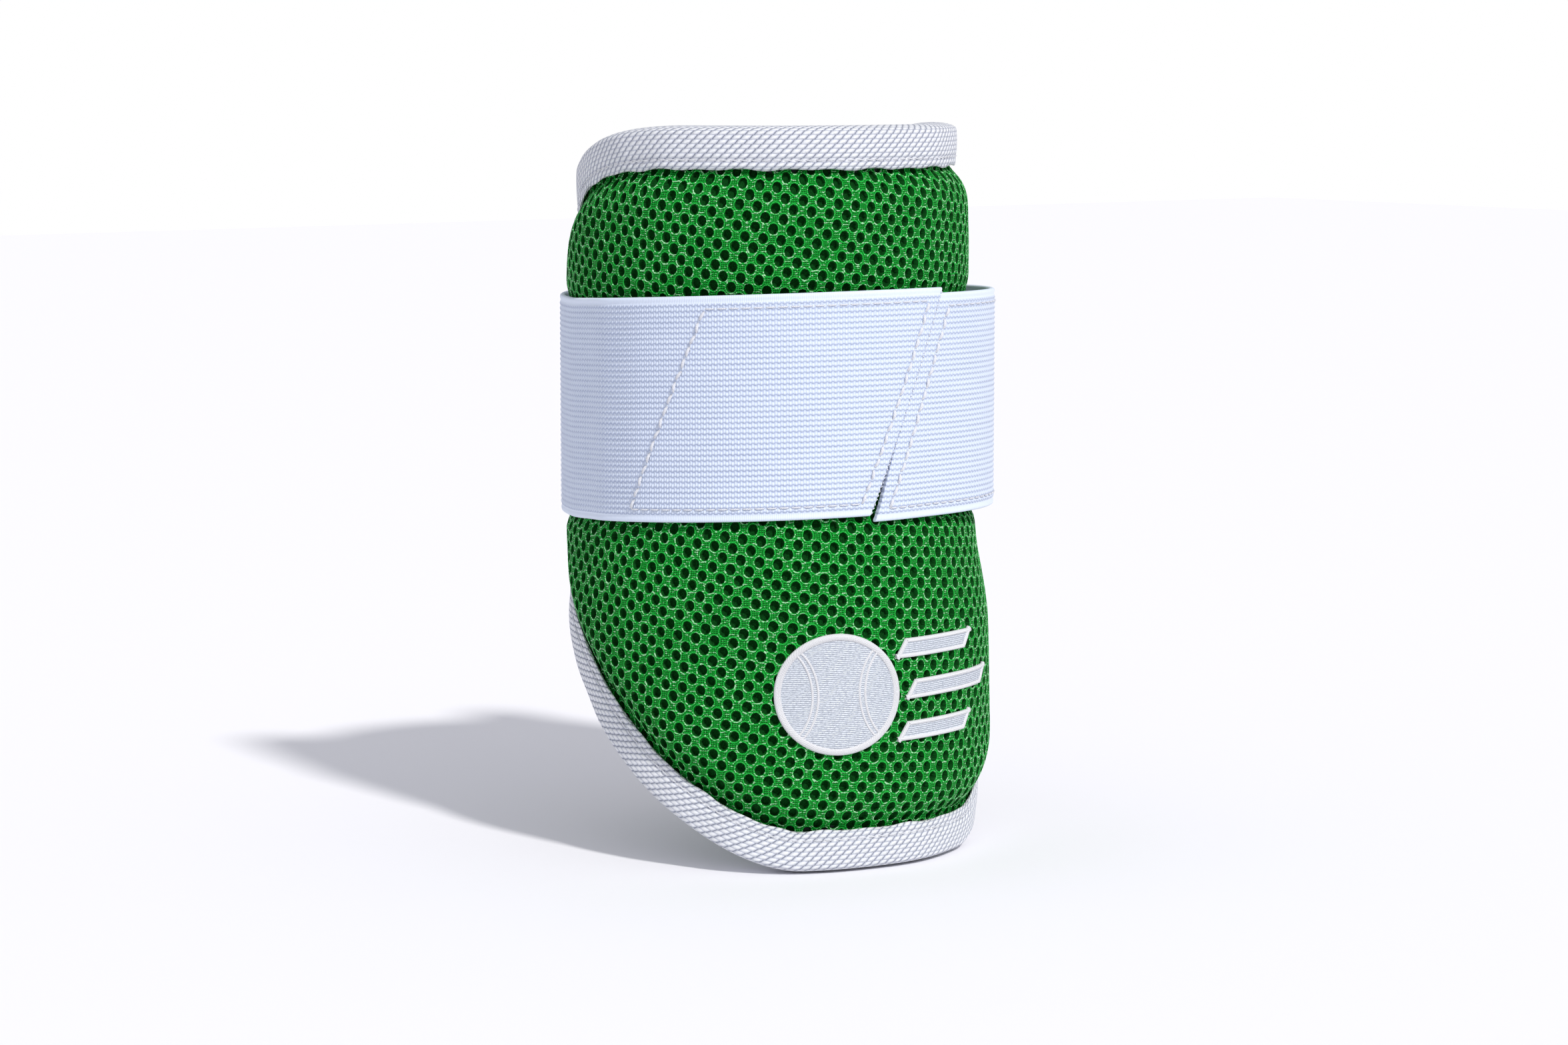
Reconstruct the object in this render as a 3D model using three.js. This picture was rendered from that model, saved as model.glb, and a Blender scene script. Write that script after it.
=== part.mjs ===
// Batter's elbow guard: a padded C-shaped shell that clips round the bent arm, with a wide elastic strap
// whose two slanted ends meet on the front and fasten there with hook and loop.
// Millimetres. +Z runs up the arm, -Y is the front of the guard, and the arm's axis is the Z axis.
// z = 0 is the lower end of the guard. A place on the curved body is given by s, the distance round the
// outside from the front centre line (positive towards +X), and z.
import * as THREE from "three";

// ---------- driving dimensions ----------
const HEIGHT = 230;
const BODY_RADIUS = 65; // outside of the mesh cover, which is also the radius that s is measured on
const CHANNEL_RADIUS = 48.5; // inside of the lining
const HALF_WIDTH = 163; // from the front centre line round to the edge of a wing
const BOTTOM_FLAT = 32;
const TOP_FLAT = 70;
const WING_LOW = 110; // the wings have their full width between these two heights
const WING_HIGH = 167;
// Handles of the curves from the bottom flat up to a wing, and from the wing round to the top flat.
const LOW_HANDLES = [71, 0, 149, 73.5];
const HIGH_HANDLES = [HALF_WIDTH, 206, 136, HEIGHT];
const FIT_GAP = 0.3;
const SKIN_GAP = 1.2; // between the binding tape and what it folds over
const LINING_GAP = 1.4;

// The padding is pinched flat under the binding and swells to its full depth inside it.
const PINCH_FLAT = 13.4;
const PINCH_SWELL = 14.6;
const PINCH_OUTSIDE = 6.2;
const PINCH_INSIDE = 2;

// The lower part is wider, and it stands forward a little.
const FLARE = { depth: 5, full: 69, none: 124 };
const FORWARD = { depth: 4, full: 33, none: 145 };

const LAYER_INSET = 1.2; // every layer is cut to one outline, just inside the binding
const MESH = { thickness: 2.5, edge: 1.6 };
const OUTER_FOAM = { thickness: 2.6, edge: 1.2 };
const LINING = { thickness: 0.8, gap: 0.5 };
const PLATE = { thickness: 2.2, halfWidth: 86, inset: 28, margin: 6, clearance: 1.6 };

const TAPE = { thickness: 0.8, reach: 12.4, web: 0.9, seamInset: 1.6 };
const THREAD = { width: 0.8, height: 0.6 };

const STRAP = {
  width: 70,
  thickness: 1.8,
  seat: 1.6, // how far the strap presses the padding in
  seatBlend: 10,
  leftRadius: 64.8, // inside of the strap where it lies straight on the mesh
  frontRadius: 66.4, // and over the hook and loop
  rightRadius: 71.7, // where it bows out past the mesh
  backRadius: 65.2,
  leftTip: 145.5, // height of its middle line at the front, where the left end sits a little higher
  rightTip: 143.7,
  backMiddle: 141,
};
const STRAP_LEFT_HINGE = THREE.MathUtils.degToRad(-95);
const STRAP_RIGHT_HINGE = THREE.MathUtils.degToRad(86);
const STRAP_SIDE_END = THREE.MathUtils.degToRad(108);
const CUT_TOP = THREE.MathUtils.degToRad(17);
const CUT_BOTTOM = THREE.MathUtils.degToRad(-8);
const PATCH = { length: 75.5, height: 65, thickness: 0.8, gap: 0.4, cutInset: 3 };
const LOOP = { thickness: 0.6, lift: 0.75, from: -92, to: 98, height: 56 };

const EMBLEM = {
  z: 56,
  thickness: 1.2,
  ballX: -22,
  ballRadius: 19,
  rim: 2.2,
  rimGap: 0.4,
  barHeight: 6,
  barPitch: 13,
  barStart: 1,
  barStep: 3, // the upper and lower bars start further back, where the ball curves away
  barLength: 38,
  barShortening: 8,
  barSlant: 4,
};

// ---------- outline of the guard, half of it, in (s, z) ----------
const halfOutline = new THREE.Path();
halfOutline.moveTo(0, 0);
halfOutline.lineTo(BOTTOM_FLAT, 0);
halfOutline.bezierCurveTo(...LOW_HANDLES, HALF_WIDTH, WING_LOW);
halfOutline.lineTo(HALF_WIDTH, WING_HIGH);
halfOutline.bezierCurveTo(...HIGH_HANDLES, TOP_FLAT, HEIGHT);
halfOutline.lineTo(0, HEIGHT);
const rimPoints = halfOutline.getSpacedPoints(160);

// Half the width of the outline at height z.
function halfWidthAt(z) {
  const height = THREE.MathUtils.clamp(z, 0, HEIGHT);
  let i = 1;
  while (i < rimPoints.length - 1 && (rimPoints[i].y < height || rimPoints[i].x < BOTTOM_FLAT)) i++;
  const low = rimPoints[i - 1];
  const high = rimPoints[i];
  const share = high.y > low.y ? (height - low.y) / (high.y - low.y) : 0;
  return THREE.MathUtils.lerp(low.x, high.x, THREE.MathUtils.clamp(share, 0, 1));
}

// Distance from a place on the body in to the nearest point of the outline.
function edgeDistance(s, z) {
  let best = Infinity;
  for (let i = 1; i < rimPoints.length; i++) {
    const a = rimPoints[i - 1];
    const b = rimPoints[i];
    const dx = b.x - a.x;
    const dz = b.y - a.y;
    const along = ((Math.abs(s) - a.x) * dx + (z - a.y) * dz) / (dx * dx + dz * dz);
    const t = THREE.MathUtils.clamp(along, 0, 1);
    best = Math.min(best, Math.hypot(Math.abs(s) - a.x - t * dx, z - a.y - t * dz));
  }
  return best;
}

// How far round a row at height z runs before it comes within an inset of the outline.
function reachAt(z, inset) {
  let low = 0;
  let high = halfWidthAt(z);
  while (high - low > 0.01) {
    const middle = (low + high) / 2;
    if (edgeDistance(middle, z) < inset - 0.01) high = middle;
    else low = middle;
  }
  return low;
}

// ---------- the curved body ----------
const angleOf = (s) => s / BODY_RADIUS;
const fadeUp = (z, swell) => swell.depth * (1 - THREE.MathUtils.smoothstep(z, swell.full, swell.none));
const pinchShare = (d) => Math.max(0, 1 - Math.max(d - PINCH_FLAT, 0) / PINCH_SWELL) ** 3;

// Height of the strap's middle line at an angle round the body, for an end whose tip is at a height.
const TIP_FADE = 1.6; // the line is level again from just past the sides
function strapMiddle(angle, tip) {
  const side = Math.sin(Math.abs(angle) / 2) ** 2;
  return THREE.MathUtils.lerp(tip, STRAP.backMiddle, Math.min(1, TIP_FADE * side));
}
function seatMiddle(angle) {
  const share = THREE.MathUtils.smoothstep(angle, CUT_BOTTOM, CUT_TOP);
  return strapMiddle(angle, THREE.MathUtils.lerp(STRAP.leftTip, STRAP.rightTip, share));
}

// How far the strap presses the padding in: it also holds in what swells out below it.
function seatDepth(s, z) {
  const angle = angleOf(s);
  const away = Math.abs(z - seatMiddle(angle)) - STRAP.width / 2;
  const share = 1 - THREE.MathUtils.smoothstep(away, -STRAP.seatBlend / 2, STRAP.seatBlend / 2);
  return share * (STRAP.seat + fadeUp(z, FLARE) + fadeUp(z, FORWARD) * Math.max(0, Math.cos(angle)));
}

// A point in space: s round the body, z up, r out from the arm's axis before the flare is added.
function onBody(s, z, r) {
  const radius = r + fadeUp(z, FLARE);
  const angle = angleOf(s);
  return new THREE.Vector3(radius * Math.sin(angle), -radius * Math.cos(angle) - fadeUp(z, FORWARD), z);
}

function outerRadius(s, z, d = edgeDistance(s, z)) {
  return BODY_RADIUS - PINCH_OUTSIDE * pinchShare(d) - seatDepth(s, z);
}
const innerRadius = (d) => CHANNEL_RADIUS + PINCH_INSIDE * pinchShare(d);

// ---------- closed solids ----------
function solid(positions, index) {
  const geometry = new THREE.BufferGeometry();
  const numbers = positions.flatMap((p) => p.toArray());
  geometry.setAttribute("position", new THREE.Float32BufferAttribute(numbers, 3));
  geometry.setIndex(index);
  geometry.computeVertexNormals();
  return geometry;
}

// A sheet with thickness. outside[row][column] and inside[row][column] are its two faces; seen from the
// outside, columns run to the right and rows run up.
function slab(outside, inside) {
  const rows = outside.length;
  const columns = outside[0].length;
  const face = rows * columns;
  const index = [];
  const quad = (a, b, c, d) => index.push(a, b, c, a, c, d);
  const at = (row, column) => row * columns + column;
  for (let row = 0; row < rows - 1; row++) {
    for (let column = 0; column < columns - 1; column++) {
      const a = at(row, column);
      const b = at(row, column + 1);
      const c = at(row + 1, column + 1);
      const d = at(row + 1, column);
      quad(a, b, c, d);
      quad(face + a, face + d, face + c, face + b);
    }
    quad(at(row, 0), at(row + 1, 0), face + at(row + 1, 0), face + at(row, 0));
    const last = columns - 1;
    quad(at(row + 1, last), at(row, last), face + at(row, last), face + at(row + 1, last));
  }
  for (let column = 0; column < columns - 1; column++) {
    quad(at(0, column + 1), at(0, column), face + at(0, column), face + at(0, column + 1));
    const top = rows - 1;
    quad(at(top, column), at(top, column + 1), face + at(top, column + 1), face + at(top, column));
  }
  return solid([...outside.flat(), ...inside.flat()], index);
}

// A closed ring: sections[i] is the section's corners at station i, in the same order all the way round.
function ring(sections) {
  const corners = sections[0].length;
  const index = [];
  sections.forEach((_, i) => {
    const next = (i + 1) % sections.length;
    for (let k = 0; k < corners; k++) {
      const a = i * corners + k;
      const b = i * corners + ((k + 1) % corners);
      const c = next * corners + ((k + 1) % corners);
      const d = next * corners + k;
      index.push(a, b, c, a, c, d);
    }
  });
  return solid(sections.flat(), index);
}

const even = (count) => Array.from({ length: count + 1 }, (_, i) => (i / count) * 2 - 1);

// One layer of the body between two radii that depend on the place. The layers share one grid, so they nest.
// Its rows and columns lie close together where the padding is pinched and beside the strap.
const LAYER_ROWS = [
  LAYER_INSET, 2.6, 5, 8.5, 13.4, 16.5, 21, PLATE.inset, 38, 49, 60, 71, 86, 102, 107, 113, 141, 170, 175, 180, 191,
  HEIGHT - PLATE.inset, 209, 213.5, 216.6, 221.5, 225, 227.4, HEIGHT - LAYER_INSET,
];
const EDGE_INSETS = [LAYER_INSET, 6, 13.6, 16.5, 21, 28];
const INSET_SHARE = 0.8; // of a row's own depth, so that no column runs off along the edge
const LEAST_STEP = 2;
const MIDDLE_COLUMNS = 14;
const layerGrid = LAYER_ROWS.map((z) => {
  const depth = Math.min(z, HEIGHT - z);
  const deepest = EDGE_INSETS[EDGE_INSETS.length - 1];
  const squeeze = Math.min(1, (INSET_SHARE * (depth - LAYER_INSET)) / (deepest - LAYER_INSET));
  const reaches = [];
  EDGE_INSETS.forEach((inset, i) => {
    const reach = reachAt(z, LAYER_INSET + (inset - LAYER_INSET) * squeeze);
    reaches.push(i ? Math.min(reach, reaches[i - 1] - LEAST_STEP) : reach);
  });
  const middle = even(MIDDLE_COLUMNS).map((share) => share * reaches[reaches.length - 1]);
  const right = reaches.slice(0, -1).reverse();
  const row = [...reaches.slice(0, -1).map((reach) => -reach), ...middle, ...right];
  return row.map((s) => ({ s, z, d: edgeDistance(s, z) }));
});
function layer(outside, inside) {
  const face = (radius) => layerGrid.map((row) => row.map(({ s, z, d }) => onBody(s, z, radius(s, z, d))));
  return slab(face(outside), face(inside));
}

const meshThickness = (d) => THREE.MathUtils.lerp(MESH.thickness, MESH.edge, pinchShare(d));
const foamThickness = (d) => THREE.MathUtils.lerp(OUTER_FOAM.thickness, OUTER_FOAM.edge, pinchShare(d));
const underMesh = (s, z, d) => outerRadius(s, z, d) - meshThickness(d) - FIT_GAP;
const underFoam = (s, z, d) => underMesh(s, z, d) - foamThickness(d) - FIT_GAP;

// 1 behind the hard plate, falling to 0 outside it, where the thick foam fills the plate's depth.
function plateShare(s, d) {
  const beyond = Math.max(Math.abs(s) - PLATE.halfWidth, PLATE.inset - d);
  return 1 - THREE.MathUtils.smoothstep(beyond, PLATE.margin, 2 * PLATE.margin);
}
const PLATE_POCKET = PLATE.thickness + 2 * PLATE.clearance;

const meshCover = layer(outerRadius, (s, z, d) => outerRadius(s, z, d) - meshThickness(d));
const outerFoam = layer(underMesh, (s, z, d) => underMesh(s, z, d) - foamThickness(d));
const impactFoam = layer(
  (s, z, d) => underFoam(s, z, d) - PLATE_POCKET * plateShare(s, d),
  (s, z, d) => innerRadius(d) + LINING.thickness + LINING.gap,
);
const lining = layer(
  (s, z, d) => innerRadius(d) + LINING.thickness,
  (s, z, d) => innerRadius(d),
);

// The hard plate is a smooth shell of its own, with its corners cut to follow the outline.
const PLATE_ROWS = LAYER_ROWS.filter((z) => z >= PLATE.inset && z <= HEIGHT - PLATE.inset);
const PLATE_COLUMNS = even(18);
const plateGrid = (drop) =>
  PLATE_ROWS.map((z) => {
    const reach = Math.min(PLATE.halfWidth, reachAt(z, PLATE.inset));
    return PLATE_COLUMNS.map((share) => {
      const s = share * reach;
      const top = BODY_RADIUS - MESH.thickness - OUTER_FOAM.thickness - 2 * FIT_GAP - PLATE.clearance;
      return onBody(s, z, top - seatDepth(s, z) - drop);
    });
  });
const hardPlate = slab(plateGrid(0), plateGrid(PLATE.thickness));

// ---------- edge binding: a tape folded over the edge, swept round the outline ----------
const STATIONS = 76;
const leftOutline = rimPoints.map((p) => new THREE.Vector2(-p.x, p.y)).reverse();
const wholeOutline = [...rimPoints.slice(0, -1), ...leftOutline.slice(0, -1)];
const outlineLoop = new THREE.CatmullRomCurve3(
  wholeOutline.map((p) => new THREE.Vector3(p.x, p.y, 0)),
  true,
);
outlineLoop.arcLengthDivisions = 1200;
const loopStations = Array.from({ length: STATIONS }, (_, i) => {
  const place = outlineLoop.getPointAt(i / STATIONS);
  const tangent = outlineLoop.getTangentAt(i / STATIONS);
  return { place, inward: new THREE.Vector2(-tangent.y, tangent.x).normalize() };
});

// A corner of a section: d in from the outline, and a radius worked out where it lands.
function inFromEdge({ place, inward }, d, radius) {
  const s = place.x + inward.x * d;
  const z = place.y + inward.y * d;
  return onBody(s, z, radius(s, z, Math.max(d, 0)));
}
const tapeOutside = (lift) => (s, z, d) => outerRadius(s, z, d) + SKIN_GAP + lift;
const tapeInside = (drop) => (s, z, d) => innerRadius(d) - LINING_GAP - drop;
const TAPE_STEPS = [TAPE.reach, 6, 0.6];
const tapeSection = (station) => [
  ...TAPE_STEPS.map((d) => inFromEdge(station, d, tapeOutside(TAPE.thickness))),
  inFromEdge(station, -TAPE.web, tapeOutside(-2 * TAPE.thickness)),
  inFromEdge(station, -TAPE.web, tapeInside(-2 * TAPE.thickness)),
  ...[...TAPE_STEPS].reverse().map((d) => inFromEdge(station, d, tapeInside(TAPE.thickness))),
  ...TAPE_STEPS.slice(0, 2).map((d) => inFromEdge(station, d, tapeInside(0))),
  inFromEdge(station, FIT_GAP, tapeInside(-FIT_GAP)),
  inFromEdge(station, FIT_GAP, tapeOutside(-FIT_GAP)),
  ...TAPE_STEPS.slice(0, 2).reverse().map((d) => inFromEdge(station, d, tapeOutside(0))),
];
const binding = ring(loopStations.map(tapeSection));

function tapeSeam(lift) {
  const near = TAPE.reach - TAPE.seamInset;
  const far = near - THREAD.width;
  return ring(
    loopStations.map((station) => [
      inFromEdge(station, near, lift(THREAD.height)),
      inFromEdge(station, far, lift(THREAD.height)),
      inFromEdge(station, far, lift(0)),
      inFromEdge(station, near, lift(0)),
    ]),
  );
}
const seamLift = TAPE.thickness + 1.5 * FIT_GAP;
const outerSeam = tapeSeam((height) => tapeOutside(seamLift + height));

// ---------- strap ----------
// The strap's inside radius at angles round the body, in degrees, eased between them: straight on the mesh,
// over the hook and loop, bowed out over the lifted right end, and round behind the arm.
const STRAP_STOPS = [
  [-95, STRAP.leftRadius],
  [-84, STRAP.frontRadius],
  [8, STRAP.frontRadius],
  [55, STRAP.rightRadius],
  [100, STRAP.rightRadius - 1],
  [150, STRAP.backRadius],
  [225, STRAP.backRadius],
  [265, STRAP.leftRadius],
];

// Inside radius of the strap at an angle round the body.
function strapRadius(angle) {
  const first = STRAP_STOPS[0][0];
  const degrees = THREE.MathUtils.euclideanModulo(THREE.MathUtils.radToDeg(angle) - first, 360) + first;
  let radius = STRAP.leftRadius;
  for (let i = 1; i < STRAP_STOPS.length; i++) {
    const [from, before] = STRAP_STOPS[i - 1];
    const [to, after] = STRAP_STOPS[i];
    const share = THREE.MathUtils.smoothstep(degrees, from, to);
    if (degrees >= from) radius = THREE.MathUtils.lerp(before, after, share);
  }
  return radius;
}

// A point on the strap: angle round the body, up from its middle line, out from its inside face.
// The strap lies on the body's axis and doesn't follow the flare below it.
function onStrap(angle, up, out, tip) {
  const r = strapRadius(angle) + out;
  return new THREE.Vector3(r * Math.sin(angle), -r * Math.cos(angle), strapMiddle(wrapped(angle), tip) + up);
}
const wrapped = (angle) => (angle > Math.PI ? angle - 2 * Math.PI : angle);
const cutAngle = (up) => THREE.MathUtils.lerp(CUT_BOTTOM, CUT_TOP, up / STRAP.width + 0.5);

// A flat piece on the strap between two angles that may change with height.
function strapPiece(from, to, height, innerOut, outerOut, columns, tip) {
  const face = (out) =>
    even(4).map((half) => {
      const up = (half * height) / 2;
      const middle = (from(up) + to(up)) / 2;
      const reach = (to(up) - from(up)) / 2;
      return even(columns).map((share) => onStrap(middle + share * reach, up, out, tip));
    });
  return slab(face(outerOut), face(innerOut));
}
const fixed = (angle) => () => angle;
const halfGap = FIT_GAP / BODY_RADIUS;
const stripe = (from, to, columns, tip) =>
  strapPiece(from, to, STRAP.width, 0, STRAP.thickness, columns, tip);

const { leftTip, rightTip } = STRAP;
const backEnd = STRAP_LEFT_HINGE + 2 * Math.PI - halfGap;
const leftTab = stripe(fixed(STRAP_LEFT_HINGE + halfGap), (up) => cutAngle(up) - halfGap, 14, leftTip);
const backRun = stripe(fixed(STRAP_SIDE_END + halfGap), fixed(backEnd), 20, leftTip);
const rightSide = stripe(fixed(STRAP_RIGHT_HINGE + halfGap), fixed(STRAP_SIDE_END - halfGap), 4, rightTip);
const rightTab = stripe((up) => cutAngle(up) + halfGap, fixed(STRAP_RIGHT_HINGE - halfGap), 12, rightTip);

// Hook patches on the inside of both ends, and the box of stitching that shows on the outside.
const patchTurn = PATCH.length / BODY_RADIUS;
const patchInset = PATCH.cutInset / BODY_RADIUS;
const leftPatchEnd = (up) => cutAngle(up) - patchInset;
const rightPatchStart = (up) => cutAngle(up) + patchInset;
const hookPatch = (from, to, tip) =>
  strapPiece(from, to, PATCH.height, -PATCH.gap - PATCH.thickness, -PATCH.gap, 10, tip);
const leftPatch = hookPatch((up) => leftPatchEnd(up) - patchTurn, leftPatchEnd, leftTip);
const rightPatch = hookPatch(rightPatchStart, (up) => rightPatchStart(up) + patchTurn, rightTip);

// A thread laid in a slanted box on the outside of the strap.
function boxStitch(start, tip) {
  const inset = 2;
  const half = PATCH.height / 2 - inset;
  const side = inset / BODY_RADIUS;
  const along = 9;
  const corners = [];
  for (let i = 0; i < along; i++) corners.push([i / along, -half]);
  for (let i = 0; i < 4; i++) corners.push([1, THREE.MathUtils.lerp(-half, half, i / 4)]);
  for (let i = 0; i < along; i++) corners.push([1 - i / along, half]);
  for (let i = 0; i < 4; i++) corners.push([0, THREE.MathUtils.lerp(half, -half, i / 4)]);
  const halfThread = THREAD.width / 2;
  const low = STRAP.thickness + PATCH.gap;
  const point = ([share, up], grow, out) => {
    const angle = start(up) + side + share * (patchTurn - 2 * side);
    const sideways = ((share * 2 - 1) * grow) / BODY_RADIUS;
    const upright = up + (grow * up) / half;
    return onStrap(angle + sideways, upright, out, tip);
  };
  return ring(
    corners.map((corner) => [
      point(corner, halfThread, low),
      point(corner, -halfThread, low),
      point(corner, -halfThread, low + THREAD.height),
      point(corner, halfThread, low + THREAD.height),
    ]),
  );
}
const leftBox = boxStitch((up) => leftPatchEnd(up) - patchTurn, leftTip);
const rightBox = boxStitch(rightPatchStart, rightTip);

// ---------- loop panel sewn to the mesh under the strap ----------
const loopMiddle = STRAP.leftTip;
function bodyPatch(columns, rows, placeOf, thickness, lift = FIT_GAP) {
  const face = (out) =>
    even(rows).map((up) =>
      even(columns).map((share) => {
        const [s, z] = placeOf(share, up);
        return onBody(s, z, outerRadius(s, z) + lift + out);
      }),
    );
  return slab(face(thickness), face(0));
}
const loopPlace = (share, up) => [
  THREE.MathUtils.lerp(LOOP.from, LOOP.to, (share + 1) / 2),
  loopMiddle + (up * LOOP.height) / 2,
];
const loopPanel = bodyPatch(20, 4, loopPlace, LOOP.thickness, LOOP.lift);

// ---------- embroidered emblem: a plain ball with three trailing bars ----------
const BALL_POLE = 0.98; // the face stops just short of its poles, so that its end rows keep a width
const faceRadius = EMBLEM.ballRadius - EMBLEM.rim - EMBLEM.rimGap;
const ballPlace = (share, up) => {
  const rise = up * faceRadius * BALL_POLE;
  const half = Math.sqrt(faceRadius ** 2 - rise ** 2);
  return [EMBLEM.ballX + share * half, EMBLEM.z + rise];
};
const ballFace = bodyPatch(8, 8, ballPlace, EMBLEM.thickness);
const RIM_STEPS = 32;
const ballRim = ring(
  Array.from({ length: RIM_STEPS }, (_, i) => {
    const turn = (i / RIM_STEPS) * 2 * Math.PI;
    const corner = (radius, lift) => {
      const s = EMBLEM.ballX + radius * Math.cos(turn);
      const z = EMBLEM.z + radius * Math.sin(turn);
      return onBody(s, z, outerRadius(s, z) + lift);
    };
    const inner = EMBLEM.ballRadius - EMBLEM.rim;
    const high = FIT_GAP + EMBLEM.thickness * 1.4;
    return [
      corner(EMBLEM.ballRadius, FIT_GAP),
      corner(inner, FIT_GAP),
      corner(inner, high),
      corner(EMBLEM.ballRadius, high),
    ];
  }),
);
function trailingBar(place) {
  const middle = EMBLEM.z + place * EMBLEM.barPitch;
  const tail = EMBLEM.barLength - EMBLEM.barShortening * Math.abs(place);
  const start = EMBLEM.barStart - EMBLEM.barStep * Math.abs(place);
  const barPlace = (share, up) => [
    start + ((1 + share) / 2) * tail + (up * EMBLEM.barSlant) / 2,
    middle + (up * EMBLEM.barHeight) / 2,
  ];
  return bodyPatch(8, 2, barPlace, EMBLEM.thickness);
}

// ---------- materials and scene graph ----------
const material = (color, roughness, metalness = 0) =>
  new THREE.MeshStandardMaterial({ color, roughness, metalness });
const meshGreen = material(0x1d8a3c, 0.75);
const foamGrey = material(0x4a4f52, 0.9);
const impactGrey = material(0x2e3133, 0.85);
const plateBlack = material(0x1b1c1e, 0.45);
const liningGreen = material(0x17602d, 0.9);
const tapeWhite = material(0xe6e7ec, 0.8);
const elasticWhite = material(0xeeeef5, 0.85);
const hookWhite = material(0xdcdde2, 0.7);
const loopWhite = material(0xe3e4e8, 0.95);
const threadWhite = material(0xf2f2f5, 0.6);
const emblemWhite = material(0xf4f4f6, 0.5);

function named(name, geometry, look) {
  const made = new THREE.Mesh(geometry, look);
  made.name = name;
  return made;
}

const guard = new THREE.Group();
guard.add(
  named("outer_mesh_cover", meshCover, meshGreen),
  named("outer_foam", outerFoam, foamGrey),
  named("hard_plate", hardPlate, plateBlack),
  named("impact_foam", impactFoam, impactGrey),
  named("inner_lining", lining, liningGreen),
  named("edge_binding", binding, tapeWhite),
  named("binding_stitching", outerSeam, threadWhite),
  named("loop_panel", loopPanel, loopWhite),
  named("emblem_ball", ballFace, emblemWhite),
  named("emblem_ball_rim", ballRim, emblemWhite),
  named("emblem_bar_upper", trailingBar(1), emblemWhite),
  named("emblem_bar_middle", trailingBar(0), emblemWhite),
  named("emblem_bar_lower", trailingBar(-1), emblemWhite),
  named("strap_right_side", rightSide, elasticWhite),
);

const strap = new THREE.Group();
strap.add(
  named("strap_back_run", backRun, elasticWhite),
  named("strap_left_tab", leftTab, elasticWhite),
  named("hook_patch_left", leftPatch, hookWhite),
  named("patch_stitching_left", leftBox, threadWhite),
  named("strap_right_tab", rightTab, elasticWhite),
  named("hook_patch_right", rightPatch, hookWhite),
  named("patch_stitching_right", rightBox, threadWhite),
);

const elbowGuard = new THREE.Group();
elbowGuard.add(guard, strap);
export default elbowGuard;
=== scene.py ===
"""A batter's elbow guard: the looks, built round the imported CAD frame. Lengths are millimetres until a
mesh is made, and s is the distance round the outside of the body from its front centre line."""

import math

import bpy
import numpy as np
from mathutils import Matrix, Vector


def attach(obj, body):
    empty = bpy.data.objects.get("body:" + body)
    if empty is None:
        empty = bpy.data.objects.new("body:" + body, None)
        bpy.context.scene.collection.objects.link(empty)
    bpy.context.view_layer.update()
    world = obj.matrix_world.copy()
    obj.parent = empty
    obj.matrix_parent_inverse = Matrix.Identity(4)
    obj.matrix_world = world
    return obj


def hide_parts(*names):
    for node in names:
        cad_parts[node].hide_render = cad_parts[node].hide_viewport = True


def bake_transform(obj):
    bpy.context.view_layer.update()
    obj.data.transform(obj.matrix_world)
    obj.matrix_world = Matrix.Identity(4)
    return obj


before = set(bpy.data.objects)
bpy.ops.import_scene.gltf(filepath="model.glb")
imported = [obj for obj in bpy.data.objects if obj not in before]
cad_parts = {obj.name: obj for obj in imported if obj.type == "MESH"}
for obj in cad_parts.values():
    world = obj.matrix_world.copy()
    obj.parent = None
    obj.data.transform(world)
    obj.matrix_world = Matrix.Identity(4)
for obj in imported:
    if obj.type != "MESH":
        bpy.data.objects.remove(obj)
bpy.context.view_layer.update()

MM = 0.001
RNG = np.random.default_rng(7)

# ---------- sizes, the CAD's own ----------
BODY_RADIUS = 65.0
CHANNEL_RADIUS = 48.5
HEIGHT = 230.0
HALF_WIDTH = 163.0
BOTTOM_FLAT = 32.0
TOP_FLAT = 70.0
WING_LOW, WING_HIGH = 110.0, 167.0
LOW_HANDLES = (71, 0), (149, 73.5)
HIGH_HANDLES = (HALF_WIDTH, 206), (136, HEIGHT)
PINCH_FLAT, PINCH_SWELL, PINCH_OUTSIDE, PINCH_INSIDE = 13.4, 14.6, 6.2, 2.0
# The swell and the forward lean of the lower part: depth, and the heights where it is full and gone.
FLARE = (5.0, 69.0, 124.0)
FORWARD = (4.0, 33.0, 145.0)
STRAP_WIDTH, STRAP_THICK = 70.0, 1.8
STRAP_SEAT, SEAT_BLEND = 1.6, 10.0
LEFT_TIP, RIGHT_TIP, BACK_MIDDLE, TIP_FADE = 145.5, 143.7, 141.0, 1.6
CUT_TOP, CUT_BOTTOM = math.radians(17), math.radians(-8)
TAPE_REACH, TAPE_THICK = 12.4, 0.8
PATCH_LENGTH, PATCH_HEIGHT, PATCH_INSET, BOX_INSET = 75.5, 65.0, 3.0, 1.5

# ---------- sizes of the cloths ----------
HOLE_PITCH, ROW_PITCH = 5.6, 6.4
GRAIN_TILT = math.radians(6)
HOLE_WIDE, HOLE_TALL = 1.4, 1.6
# Out from a hole's edge: the cord round it, half the cord's width, and where the knit starts.
CORD_OUT, CORD_HALF, KNIT_FROM = 0.3, 0.36, 0.58
TWIST_PITCH, RUNG_PITCH, CHAIN_PITCH = 0.62, 0.62, 0.7
RIB_PITCH, RIB_RISE, SELVEDGE = 1.65, 0.14, 2.1
STITCH_PITCH = 0.85
FLOAT_ROW, FLOAT_STEP, FLOAT_LENGTH = 1.4, 1.45, 2.6
PUCKER, PUCKER_FROM, PUCKER_FULL = 0.3, 40.0, 54.0

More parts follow.
